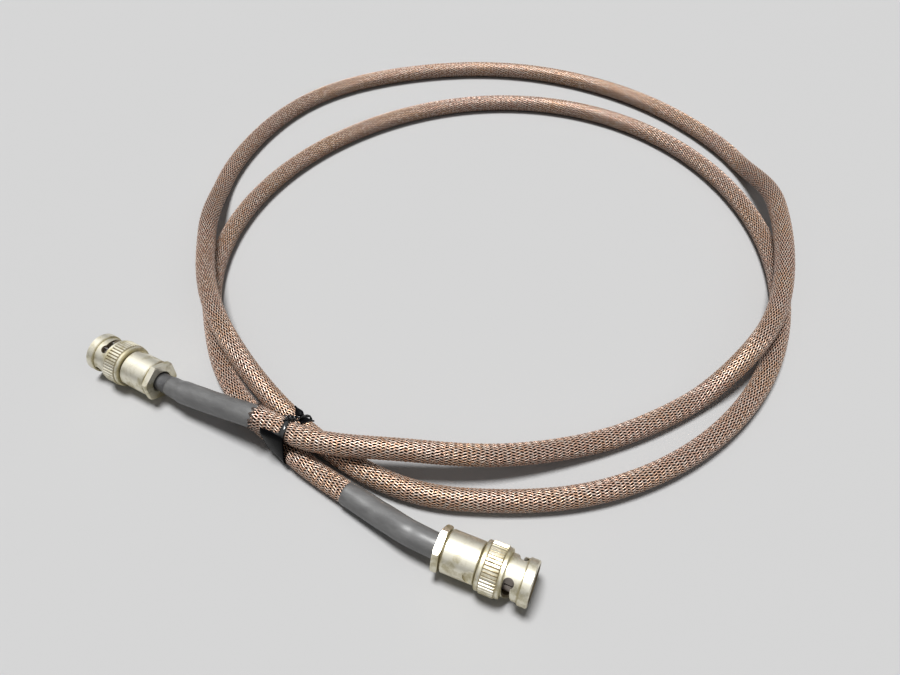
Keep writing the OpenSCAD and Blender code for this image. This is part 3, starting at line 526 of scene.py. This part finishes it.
class CableSettings(bpy.types.PropertyGroup):
    """Sizes and colours of the sleeved cord"""

    braid_radius: length_property("Braid radius", "Radius of the copper-brown layer", 0.00280)
    mesh_radius: length_property("Mesh radius", "Radius at the middle of the mesh's strands", 0.00325)
    strands: bpy.props.IntProperty(name="Strands", description="Strands of the mesh each way", default=24, min=4)
    pitch: length_property("Pitch", "Length of the mesh's cell along the cable", 0.0026)
    strand_width: length_property("Strand width", "Width of one strand", 0.00037)
    strand_height: length_property("Strand height", "Thickness of one strand", 0.00024)
    weave: length_property("Weave", "How far a strand rises over and dips under the others", 0.00013)
    braid_colour: colour_property("Braid", "Copper-brown of the braid", (0.030, 0.016, 0.011))
    braid_warm: colour_property("Braid, warm", "Warmer stretches of the braid", (0.042, 0.021, 0.012))
    braid_pale: colour_property("Braid, worn", "Pale pink flecks of the braid", (0.08, 0.045, 0.030))
    # Painted shade between the tows and under the mesh's strands.
    braid_painted_shade: colour_property("Braid, gaps", "Dark gaps of the braid", (0.012, 0.008, 0.006))
    # The bright strand tones show only on the crests, partly the strands' copper-beige and partly painted highlight.
    strand_colour: colour_property("Strand", "Copper-beige of the mesh's strands", (0.90, 0.55, 0.41))
    strand_warm: colour_property("Strand, warm", "Warmer stretches of the strands", (0.97, 0.57, 0.35))
    # Pale flecks: painted glints on the crests.
    strand_painted_glint: colour_property("Strand, pale", "Pale flecks of the strands", (1.0, 0.86, 0.75))
    # Painted shade of the strands' flanks and dips.
    strand_painted_shade: colour_property("Strand, flanks", "Dark flanks of the strands", (0.022, 0.013, 0.010))
    shrink_colour: colour_property("Heat shrink", "Dark grey of the heat shrinks", (0.125, 0.124, 0.123))
    tie_colour: colour_property("Tie", "Black of the twist tie", (0.004, 0.004, 0.005))


class PlugSettings(bpy.types.PropertyGroup):
    """Finishes of the two plugs"""

    nickel: colour_property("Nickel", "Warm nickel plate", (0.90, 0.86, 0.72))
    # This colour is also laid on towards the floor side of each plug as painted shade.
    tarnish_and_shade: colour_property("Tarnish_And_Shade", "Olive-yellow tarnish of the plate", (0.40, 0.34, 0.155))
    tarnish_amount: number_property("Tarnish amount", "How strong it is", 0.75, min=0, max=1, subtype="FACTOR")
    thread_pitch: length_property("Thread pitch", "Pitch of the clamp nut's thread", 0.0007)


class StageSettings(bpy.types.PropertyGroup):
    """Camera, floor and lamps"""

    camera_at: bpy.props.FloatVectorProperty(
        name="Camera", description="Where the camera stands", subtype="TRANSLATION", unit="LENGTH",
        default=(0.0494, -0.1112, 0.1900)
    )
    camera_down: angle_property("Camera pitch", "How far below level the camera looks", 49.599)
    camera_roll: angle_property("Camera roll", "Turn of the camera about its own line of sight", -1.416)
    lens: number_property("Lens", "Focal length on a 36 mm sensor", 28.08, min=1)
    floor_colour: colour_property("Floor", "Pale grey of the floor", (0.62, 0.62, 0.62))
    key_power: number_property("Key lamp", "Strength of the main lamp", 2.95, min=0)
    fill_power: number_property("Fill lamp", "Strength of the second lamp", 0.09, min=0)


# Operators


class StageOperator(bpy.types.Operator):
    """Set up the camera, the pale floor, two soft lamps and the plain world"""

    bl_idname = "cable.set_stage"
    bl_label = "Set Stage"

    def execute(self, context):
        settings = context.scene.cable_stage
        scene = context.scene
        scene.view_settings.view_transform = "Standard"
        camera = bpy.data.objects.new("Camera", bpy.data.cameras.new("Camera"))
        scene.collection.objects.link(camera)
        camera.data.lens = settings.lens
        camera.data.sensor_width = 36.0
        camera.data.sensor_fit = "HORIZONTAL"
        camera.data.clip_start = 0.01
        pitch = Matrix.Rotation(np.pi / 2 - settings.camera_down, 4, "X")
        roll = Matrix.Rotation(settings.camera_roll, 4, "Z")
        camera.matrix_world = Matrix.Translation(settings.camera_at) @ pitch @ roll
        scene.camera = camera

        corners = FLOOR_REACH * np.array([[-1, -1, 0], [1, -1, 0], [1, 1, 0], [-1, 1, 0]])
        floor = put_mesh("floor", corners, [np.array([[0, 1, 2, 3]])], smooth=False)
        material, hand, shader = surface("Floor Paper", specular=0.25)
        tone = hand.noise(hand.coordinates("Object"), 6.0, 2.0, 0.55)
        pale = settings.floor_colour
        paper = hand.mix(hand.between(tone, 0.3, 0.7, 0, 0.04), (*pale, 1), (*[0.9 * c for c in pale], 1))
        ray = hand.add("ShaderNodeLightPath").outputs
        seen = hand.maths("MAXIMUM", ray["Is Camera Ray"], ray["Is Glossy Ray"])
        hand.fill(shader["Base Color"], hand.mix(seen, (0.1, 0.1, 0.1, 1), paper))
        shader["Roughness"].default_value = 0.8
        floor.data.materials.append(material)

        for label, way, angle, power in (
            ("Key", (-0.09, 0.12, 1.0), 18.0, settings.key_power),
            ("Fill", (0.70, -0.40, 0.60), 35.0, settings.fill_power),
        ):
            lamp = bpy.data.objects.new(label, bpy.data.lights.new(label, "SUN"))
            lamp.data.angle = np.radians(angle)
            lamp.data.energy = power
            lamp.rotation_euler = Vector(way).to_track_quat("Z", "Y").to_euler()
            scene.collection.objects.link(lamp)

        world = bpy.data.worlds.new("Studio")
        scene.world = world
        world.use_nodes = True
        hand = Tree(world.node_tree)
        _, _, height = hand.split(hand.coordinates("Generated"))
        rise = hand.between(height, -0.05, 0.9)
        lit = hand.mix(rise, (0.03, 0.03, 0.032, 1), (0.15, 0.15, 0.15, 1))
        mirrored = hand.mix(rise, (0.10, 0.10, 0.105, 1), (0.90, 0.90, 0.90, 1))
        ray = hand.add("ShaderNodeLightPath").outputs
        shade = hand.mix(ray["Is Glossy Ray"], lit, mirrored)
        shade = hand.mix(ray["Is Camera Ray"], shade, (*[1.06 * c for c in pale], 1))
        hand.fill(world.node_tree.nodes["Background"].inputs["Color"], shade)
        return {"FINISHED"}


def cord_mesh(settings, finishes):
    """The cord: every millimetre a ring of points at the cord's radius from the centre line, by the cosine sideways
    and the sine upward, and a flat cap on each end. It is bare jacket in the plugs. UV counts the mesh's cells."""
    s = np.append(np.arange(0, CABLE_L - 0.5), CABLE_L)
    bare = (s < BARE_TO) | (s > BARE_FROM)
    radius = np.where(bare, JACKET_RADIUS, settings.braid_radius / MM)
    point, side, up, _ = stations(s)
    turn = round_turn(CORD_SIDES)
    points = point[:, None] + radius[:, None, None] * spokes(side[:, None], up[:, None], turn)
    cells = s / (settings.pitch / MM)
    i, j = np.divmod(np.arange((len(s) - 1) * CORD_SIDES), CORD_SIDES)
    low, high = cells[i], cells[i + 1]
    near, far = j / CORD_SIDES * settings.strands, (j + 1) / CORD_SIDES * settings.strands
    corners = ((low, near), (high, near), (high, far), (low, far))
    walls = np.stack([np.stack(corner, 1) for corner in corners], 1)
    caps = [np.stack([np.full(CORD_SIDES, cells[k]), turn], 1) for k in (0, -1)]
    in_jacket = np.append(np.repeat(bare[:-1] & bare[1:], CORD_SIDES), [1, 1])
    return put_mesh("sleeved_cable", points, tube_faces(1, len(s), CORD_SIDES), [walls, *caps], finishes, in_jacket)


class CordOperator(bpy.types.Operator):
    """Lay the braided cord along its whole route, from inside plug A to inside plug B"""

    bl_idname = "cable.lay_cord"
    bl_label = "Lay Cord"

    def execute(self, context):
        settings = context.scene.cable_sizes
        jacket = moulded("Cable Jacket", (0.07, 0.07, 0.072), (0.3, 0.3, 0.31), 260, 0.35, 0.3, (0.4, 0.6))
        solids = [f"{what}_{part}" for what in ("cable_core", "sleeve") for part in ("a", "loops", "b")]
        seat(cord_mesh(settings, [braid_finish(settings), jacket]), stands_for=solids)
        return {"FINISHED"}


def mesh_radius(s, turn, settings):
    """Radius of the mesh at the distance s and the angle turn round the cable: its own radius, lifted over the end of
    heat shrink A, and swollen beside it into a knob, by a quick rise and a longer fall, more on the side below."""
    end, lift, swelling, above, more_below = SHRINK_A[1], 0.56, 0.35, 0.55, 0.45
    over = lift * (1 - eased(s, end - 0.5, end + 2.0))
    knob = swelling * eased(s, end - 1.3, end + 0.6) * (1 - eased(s, end + 3.0, end + 8))
    return settings.mesh_radius / MM + over + knob * (above + more_below * np.cos(turn + 0.5))


def strand_mesh(name, s, start, share, settings, finish):
    """One share of the four of the mesh's strands, half of them wound each way. A strand winds round the cable one
    cell a pitch, clockwise or anticlockwise; its radius swings by a cosine of the pitch, so that it goes over and
    under the strands it meets. Its section is an ellipse laid flat on the cable, and it begins at its own start."""
    pitch = settings.pitch / MM
    index = np.tile(np.arange(share, settings.strands, 4), 2)
    wound = np.repeat([1.0, -1.0], len(index) // 2)[:, None]
    at = np.maximum(s[None], start[:, None] + np.linspace(0, 0.4, len(s))[None])
    turn = 2 * np.pi / settings.strands * (index[:, None] - wound * at / pitch)
    swing = np.cos(2 * np.pi * at / pitch)
    radius = mesh_radius(at, turn, settings) + wound * settings.weave / MM * swing
    point, side, up, along = stations(at)
    out = spokes(side, up, turn)
    centre = point + radius[..., None] * out
    slope = -wound * 2 * np.pi / settings.strands / pitch * radius
    across = np.cross(unit(along + slope[..., None] * spokes(up, -side, turn)), out)
    corner = round_turn(STRAND_SIDES)
    points = (
        centre[:, :, None]
        + across[:, :, None] * (settings.strand_width / MM / 2 * np.cos(corner))[:, None]
        + out[:, :, None] * (settings.strand_height / MM / 2 * np.sin(corner))[:, None]
    )
    walls, caps = tube_faces(len(index), len(s), STRAND_SIDES)
    # UV for the painted highlight on the crests and the painted shade on flanks and dips.
    over = (1 + (wound * swing)[..., None]) / 2
    light_and_shade_uv = np.stack(np.broadcast_arrays(over, (1 + np.sin(corner)) / 2), -1).reshape(-1, 2)
    return put_mesh(name, points, [walls, caps], [light_and_shade_uv[walls], light_and_shade_uv[caps]], [finish])


def end_loops(rng, settings, finish):
    """Filaments that turn back at the cut end of the mesh: each a half turn that starts and ends on the mesh and
    in between stands off it and over the heat shrink by a sine."""
    count, steps, thickness = 22, 17, 0.26
    t = np.linspace(0, 1, steps)[None]
    bulge = np.sin(np.pi * t)
    first = rng.uniform(0, 2 * np.pi, count)[:, None]
    span, rise, back = (rng.uniform(a, b, count)[:, None] for a, b in ((0.2, 0.55), (0.1, 0.7), (0.3, 1.5)))
    turn = first + span * t
    s = SHRINK_A[1] + 0.9 - 1.2 * bulge - back * bulge
    radius = mesh_radius(np.maximum(s, SHRINK_A[1] - 0.4), turn, settings) - 0.1 + rise * bulge
    point, side, up, _ = stations(s)
    out = spokes(side, up, turn)
    centre = point + radius[..., None] * out
    way = unit(np.gradient(centre, axis=1))
    across = unit(np.cross(way, out))[:, :, None]
    around = spokes(across, np.cross(across, way[:, :, None]), round_turn(LOOP_SIDES))
    walls, caps = tube_faces(count, steps, LOOP_SIDES)
    # Fixed UV that puts the loops mostly in the strands' painted shade.
    light_and_shade_uv = np.tile([0.6, 0.62], (count * steps * LOOP_SIDES, 1))
    points = centre[:, :, None] + thickness / 2 * around
    return put_mesh("mesh_end_loops", points, [walls, caps], [light_and_shade_uv[walls], light_and_shade_uv[caps]], [finish])


class SleeveOperator(bpy.types.Operator):
    """Weave the monofilament mesh over the cord, in four sets of strands, with its loose end beside heat shrink A"""

    bl_idname = "cable.weave_sleeve"
    bl_label = "Weave Sleeve"

    def execute(self, context):
        settings = context.scene.cable_sizes
        finish = strand_finish(settings)
        pitch = settings.pitch / MM
        rng = np.random.default_rng(7)
        first, last = (np.floor(end * 2 / pitch) for end in MESH_ENDS)
        s = np.arange(first, last + 1) * pitch / 2
        for share in range(4):
            start = SHRINK_A[1] - rng.uniform(0.2, 1.2, 2 * len(range(share, settings.strands, 4)))
            seat(strand_mesh(f"mesh_sleeve_{share + 1}", s, start, share, settings, finish))
        seat(end_loops(rng, settings, finish))
        return {"FINISHED"}


def shrink_marks(s, start, end, rng):
    """Creases and dents of a tube's radius. A crease is a cosine of the angle whose phase runs on along the tube,
    under a bell; a dent is a bell times the sixth power of a cosine, held above zero."""
    turn = round_turn(SHRINK_SIDES)
    creases, dents = np.zeros((len(s), SHRINK_SIDES)), np.zeros((len(s), SHRINK_SIDES))
    for _ in range(9):
        wave, shift = rng.integers(2, 7), rng.uniform(0, 6.28)
        place, reach = rng.uniform(start, end), rng.uniform(3, 9)
        creases += 0.03 * np.cos(wave * turn + shift + 0.08 * (s - place)) * bell(s, place, reach)
    for _ in range(6):
        place, reach, toward = rng.uniform(start + 6, end - 3), rng.uniform(1.2, 3.0), rng.uniform(0.4, 2.7)
        dents -= 0.1 * bell(s, place, reach) * np.clip(np.cos(turn - toward), 0, 1) ** 6
    return creases, dents


class ShrinkOperator(bpy.types.Operator):
    """Shrink the two dark grey tubes over the ends of the sleeve"""

    bl_idname = "cable.shrink_tubes"
    bl_label = "Shrink Tubes"

    def execute(self, context):
        tone = tuple(context.scene.cable_sizes.shrink_colour)
        for label, (start, end), nut, seed in (("a", SHRINK_A, 0.0, 3), ("b", SHRINK_B, CABLE_L, 5)):
            stretch = (np.radians(90 + PLUGS[label][1]), (1.0, 4.0, 1.0))
            finish = moulded(f"Heat Shrink {label.upper()}", tone, (0.32, 0.32, 0.315), 420, 0.3, 0.15, (0.34, 0.46),
                             0.35, stretch, specular=1.0)
            s = np.linspace(start, end, 120)
            from_nut = np.abs(s - nut)[:, None]
            widen = 3.32 + 0.42 * eased(from_nut, 15.2, 18.5)
            if label == "b":
                widen = 3.55 + 0.19 * eased(from_nut, 2, 20)
            creases, dents = shrink_marks(s[:, None], start, end, np.random.default_rng(seed))
            lip = -0.12 * (1 - eased(s[:, None], start, start + 0.5)) - 0.12 * eased(s[:, None], end - 0.5, end)
            outer = widen + creases * eased(from_nut, 15, 20) + dents + lip
            piece = shell(f"heat_shrink_tube_{label}", s, outer, SHRINK_BORE, finish)
            seat(piece, stands_for=(f"heat_shrink_{label}",))
        return {"FINISHED"}


def tie_point(run, height, off):
    """Point of the tie: so far along its run from the foot of its plane, so high, and so far square off the plane."""
    return TIE_AT + run * TIE_RUN + height * UP + off * TIE_SQUARE


def bundle_outline(offset, settings):
    """Even points of the tight line round the strands in the tie's plane moved by offset: in each direction the
    furthest point of the strands' sections, each an ellipse 1.2 times as wide as high. Given as run and height."""
    from_tie = LINE - TIE_AT
    off = from_tie @ TIE_SQUARE - offset
    reach, slack, wide, steps = 30, 0.3, 1.2, 720
    k = np.nonzero((off[:-1] * off[1:] <= 0) & (np.linalg.norm(from_tie[:-1], axis=1) < reach))[0]
    strands = np.stack([from_tie[k] @ TIE_RUN, from_tie[k, 2]], 1)
    half = (mesh_radius(LINE_S[k], 0.0, settings)[:, None] + slack) * np.array([wide, 1.0])
    turn = np.linspace(0, 2 * np.pi, steps)
    way = np.stack([np.cos(turn), np.sin(turn)], 1)
    far = np.sqrt((half**2) @ (way**2).T)
    best = np.argmax(strands @ way.T + far, axis=0)
    line = strands[best] + half[best] ** 2 * way / far[best, np.arange(steps)][:, None]
    at = mileage(line)
    even = np.linspace(0, at[-1], BAND_STEPS, endpoint=False)
    return read_off(even, at, line)


def wire_ridge(corner, height):
    """How much thicker the tie is at each corner of its section: 1, and a bell over its middle for the wire."""
    return 1 + height * bell(np.cos(corner), 0, 0.35)


def ribbon_points(centre, across, width, height):
    """Ribbon along centre: an ellipse of the given width and height, with a wire's round ridge down its middle."""
    way = unit(np.gradient(centre, axis=0))
    across = unit(across - (across * way).sum(1, keepdims=True) * way)
    out = np.cross(way, across)
    corner = round_turn(RIBBON_SIDES)
    return (
        centre[:, None]
        + across[:, None] * (width[:, None] / 2 * np.cos(corner))[..., None]
        + out[:, None] * (height / 2 * np.sin(corner) * wire_ridge(corner, 0.9))[..., None]
    )


def tie_band(settings, finishes):
    """Band round the bundle: a flap lies wide on the near side, from under the bundle almost to the top strand's
    crest, and a narrow strip with a wire's ridge goes on over the crest. Both edges follow the outlines of the
    bundle in the planes they reach."""
    planes = np.linspace(-4, 8, 7)
    outlines = np.stack([bundle_outline(offset, settings) for offset in planes])
    clear, thickness = 0.05, 0.3
    run, height = outlines[2].T
    wide = eased(-run, -2, 4) * (1 - eased(height, 13.4, 14.6))
    near = eased(-run, 1, 5)
    left = 0.5 - 0.5 * near + 6.3 * wide
    right = -0.9 - 0.9 * near - 0.3 * wide
    corner = round_turn(RIBBON_SIDES)
    offset = ((left + right) / 2)[:, None] + ((left - right) / 2)[:, None] * np.cos(corner)
    place = np.clip((offset - planes[0]) / (planes[1] - planes[0]), 0, len(planes) - 1.001)
    low = place.astype(int)
    share = (place - low)[..., None]
    row = np.arange(BAND_STEPS)[:, None]
    flat = outlines[low, row] * (1 - share) + outlines[low + 1, row] * share
    around = unit(np.roll(flat, -1, 0) - np.roll(flat, 1, 0))
    outward = np.stack([around[..., 1], -around[..., 0]], -1)
    wire = wire_ridge(corner, 0.9 - 0.8 * wide[:, None])
    flat = flat + outward * (clear + thickness / 2 * np.sin(corner) * wire)[..., None]
    points = tie_point(flat[..., :1], flat[..., 1:], offset[..., None])
    ridge = np.repeat((wide < 0.3) & (run < 0.3), RIBBON_SIDES)
    return put_mesh("tie_band", points, [grid_faces(BAND_STEPS, RIBBON_SIDES, True)], None, finishes, ridge)


def tie_knot(finishes):
    """Knot: two ribbons wind round one axis by a cosine and a sine, then each bends away to its own tip along a
    curve through three points."""
    turns, apart, thickness, wound_rows = 1.75, 0.8, 0.36, 80
    start, end = tie_point(-1.5, 15.6, 1.0), tie_point(0.7, 14.7, -2.4)
    tips = tie_point(3.4, 16.0, 0.4), tie_point(2.4, 14.0, -6.8)
    axis = unit(end - start)
    u = unit(np.cross(axis, UP))
    v = np.cross(axis, u)
    wind = np.linspace(0, 1, wound_rows)[:, None]
    free = np.linspace(0, 1, 50)[1:, None]
    flare = 0.8 + 1.9 * eased(free, 0.05, 0.4) - 2.2 * eased(free, 0.55, 1.0)
    width = np.concatenate([np.full(wound_rows, 0.8), flare[:, 0]])
    ribbons = []
    for phase, tip in zip((0.0, np.pi), tips):
        angle = phase + 2 * np.pi * turns * wind
        spoke = np.cos(angle) * u + np.sin(angle) * v
        wound = start + (end - start) * wind + apart * spoke
        bend = wound[-1] + 1.0 * axis
        tail = (1 - free) ** 2 * wound[-1] + 2 * free * (1 - free) * bend + free**2 * tip
        twist = np.cross(axis, spoke)
        flat = unit(np.cross(tip - bend, UP)) + 0.35 * UP
        flat = flat * np.sign(flat @ twist[-1])
        across = np.vstack([twist, (1 - free) * twist[-1] + free * flat])
        ribbons.append(ribbon_points(np.vstack([wound, tail]), across, width, thickness))
    rows = len(width)
    walls, caps = tube_faces(2, rows, RIBBON_SIDES)
    ridge = np.repeat(np.arange(rows - 1) < wound_rows + 6, RIBBON_SIDES)
    return put_mesh("tie_knot", np.concatenate(ribbons), [walls[:, ::-1], caps[:, ::-1]], None, finishes,
                    np.concatenate([ridge, ridge, np.zeros(len(caps))]))


class TieOperator(bpy.types.Operator):
    """Tie the three strands together with the black twist tie, its ends twisted and turned aside"""

    bl_idname = "cable.twist_tie"
    bl_label = "Twist Tie"

    def execute(self, context):
        settings = context.scene.cable_sizes
        black, dusty = tuple(settings.tie_colour), (0.008, 0.008, 0.009)
        flat = moulded("Tie Plastic", black, dusty, 500, 0.1, 0.05, (0.15, 0.3), 0.3, specular=0.03)
        glossy = moulded("Tie Wire Ridge", black, dusty, 500, 0.1, 0.05, (0.05, 0.15), 0.2, specular=0.8)
        seat(tie_band(settings, [flat, glossy]), stands_for=("twist_tie",))
        seat(tie_knot([flat, glossy]))
        return {"FINISHED"}


def turned(name, plug, z, radius, finish, smooth=True):
    """Closed ring round a plug's axis: each row of z, forward from the plug's rear, and of radius goes once round,
    and its faces look outward."""
    start, down, across, ahead = plug_axes(plug)
    z, radius = np.broadcast_arrays(z, radius)
    rows, sides = radius.shape
    points = start + z[..., None] * ahead + radius[..., None] * spokes(down, across, round_turn(sides))
    return put_mesh(name, points, [grid_faces(rows, sides, True)[:, ::-1]], None, [finish], smooth=smooth)


def nut_thread(plug, pitch, finish):
    """Thread that shows between nut and body: a collar whose radius rises and falls once a pitch along the
    axis, the phase turning once round it, faded out at both ends, and closed by a plain bore."""
    root, depth, bore, rear, front, fade = 4.92, 0.26, 4.6, 1.95, 2.56, 0.1
    z = np.linspace(rear, front, 40)[:, None]
    saw = np.abs(((z / pitch - round_turn(RING_SIDES) / (2 * np.pi)) % 1) * 2 - 1)
    radius = root + depth * (1 - saw) * eased(z, rear, rear + fade) * (1 - eased(z, front - fade, front))
    radius = np.vstack([radius, np.full(radius.shape, bore)])
    seat(turned(f"plug_{plug}_nut_thread", plug, np.vstack([z, z[::-1]]), radius, finish))


def wave_spring(plug, finish):
    """Wave washer: a flat ring whose height swings three times in one turn, by the sine of three times the turn."""
    rear, front, sheet, outer, inner = 13.73, 15.63, 0.35, 5.95, 4.55
    swing = (front - rear - sheet) / 2 * np.sin(3 * round_turn(RING_SIDES))
    radius = np.array([outer, outer, inner, inner])[:, None]
    z = (rear + front) / 2 + swing + np.array([-0.5, 0.5, 0.5, -0.5])[:, None] * sheet
    piece = turned(f"plug_{plug}_wave_spring", plug, z, radius, finish, smooth=False)
    seat(piece, stands_for=(f"plug_{plug}_wave_washer",))
    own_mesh(piece)


class PlugOperator(bpy.types.Operator):
    """Finish both plugs: plate, springs, pin, insulator, gaskets and the thread behind each body"""

    bl_idname = "cable.finish_plugs"
    bl_label = "Finish Plugs"

    def execute(self, context):
        settings = context.scene.cable_plugs
        nickel, tarnish_and_shade, amount = tuple(settings.nickel), tuple(settings.tarnish_and_shade), settings.tarnish_amount
        white = moulded("Insulator", (0.82, 0.81, 0.77), (0.6, 0.58, 0.5), 350, 0.25, 0.1, (0.3, 0.45), 0.1)
        rubber = moulded("Gasket Rubber", (0.30, 0.085, 0.06), (0.5, 0.25, 0.2), 400, 0.3, 0.3, (0.5, 0.75), 0.3)
        copper = moulded("Copper Wire", (0.55, 0.27, 0.16), (0.75, 0.45, 0.3), 900, 0.5, 0.2, (0.3, 0.5), 0.5)
        for plug in PLUGS:
            body = plated("Satin Nickel", plug, nickel, tarnish_and_shade, amount, hollow_shade=0.8)
            bright = plated("Bright Nickel", plug, (0.82, 0.80, 0.75), tarnish_and_shade, 0.3, (0.15, 0.35), 0.15)
            # The contact sleeve's dark, matt plate is partly tarnished and partly painted shade for its place inside
            # the ring.
            dull_and_shaded = plated("Dull Nickel", plug, (0.34, 0.30, 0.27), (0.16, 0.12, 0.09), 0.6, (0.4, 0.6), 0.3)
            steel = plated("Spring Steel", plug, (0.56, 0.57, 0.6), (0.3, 0.28, 0.25), 0.4, (0.25, 0.45), 0.2)
            gold = plated("Gold Plate", plug, (0.9, 0.68, 0.32), (0.6, 0.42, 0.2), 0.3, (0.15, 0.35), 0.1)
            finishes = {
                "coupling_ring": body, "body": body, "clamp_nut": body, "contact_sleeve": dull_and_shaded, "braid_clamp": bright,
                "thrust_washer": steel, "retaining_ring": steel, "clamp_washer": steel,
                "centre_pin": gold, "insulator": white, "dielectric_end": white, "front_gasket": rubber,
                "clamp_gasket": rubber, "braid_end": copper, "conductor_end": copper,
            }
            for piece, finish in finishes.items():
                for slot in NODES[f"plug_{plug}_{piece}"].material_slots:
                    slot.material = finish
            nut_thread(plug, settings.thread_pitch / MM, body)
            wave_spring(plug, steel)
        return {"FINISHED"}


class DeclareOperator(bpy.types.Operator):
    bl_idname = "cable.declare_cord"
    bl_label = "Declare Cord"

    def execute(self, context):
        on_it = [f"mesh_sleeve_{k}" for k in range(1, 5)]
        on_it += ["mesh_end_loops", "heat_shrink_tube_a", "heat_shrink_tube_b", "tie_band", "tie_knot"]
        on_it += [f"plug_b_{piece}" for piece in (
            "nut_thread", "clamp_nut", "body", "coupling_ring", "contact_sleeve", "insulator", "centre_pin",
            "front_gasket", "retaining_ring", "wave_spring", "thrust_washer",
        )]
        return {"FINISHED"}


class CablePanel(bpy.types.Panel):
    """Buttons and settings of the cable"""

    bl_idname = "VIEW3D_PT_cable"
    bl_label = "Sleeved Coaxial Cable"
    bl_space_type = "VIEW_3D"
    bl_region_type = "UI"
    bl_category = "Cable"

    def draw(self, context):
        for operator in OPERATORS:
            self.layout.operator(operator.bl_idname)
        for group in (context.scene.cable_sizes, context.scene.cable_plugs, context.scene.cable_stage):
            box = self.layout.box()
            for key in group.bl_rna.properties.keys():
                if key not in {"rna_type", "name"}:
                    box.prop(group, key)


OPERATORS = (StageOperator, CordOperator, SleeveOperator, ShrinkOperator, TieOperator, PlugOperator, DeclareOperator)
GROUPS = {"cable_sizes": CableSettings, "cable_plugs": PlugSettings, "cable_stage": StageSettings}
CLASSES = (*GROUPS.values(), *OPERATORS, CablePanel)


def register():
    for item in CLASSES:
        bpy.utils.register_class(item)
    for name, group in GROUPS.items():
        setattr(bpy.types.Scene, name, bpy.props.PointerProperty(type=group))


def unregister():
    for name in GROUPS:
        delattr(bpy.types.Scene, name)
    for item in reversed(CLASSES):
        bpy.utils.unregister_class(item)


def main():
    """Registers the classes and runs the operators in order."""
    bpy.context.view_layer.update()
    register()
    bpy.ops.cable.set_stage()
    bpy.ops.cable.lay_cord()
    bpy.ops.cable.weave_sleeve()
    bpy.ops.cable.shrink_tubes()
    bpy.ops.cable.twist_tie()
    bpy.ops.cable.finish_plugs()
    bpy.ops.cable.declare_cord()


if __name__ == "__main__":
    main()
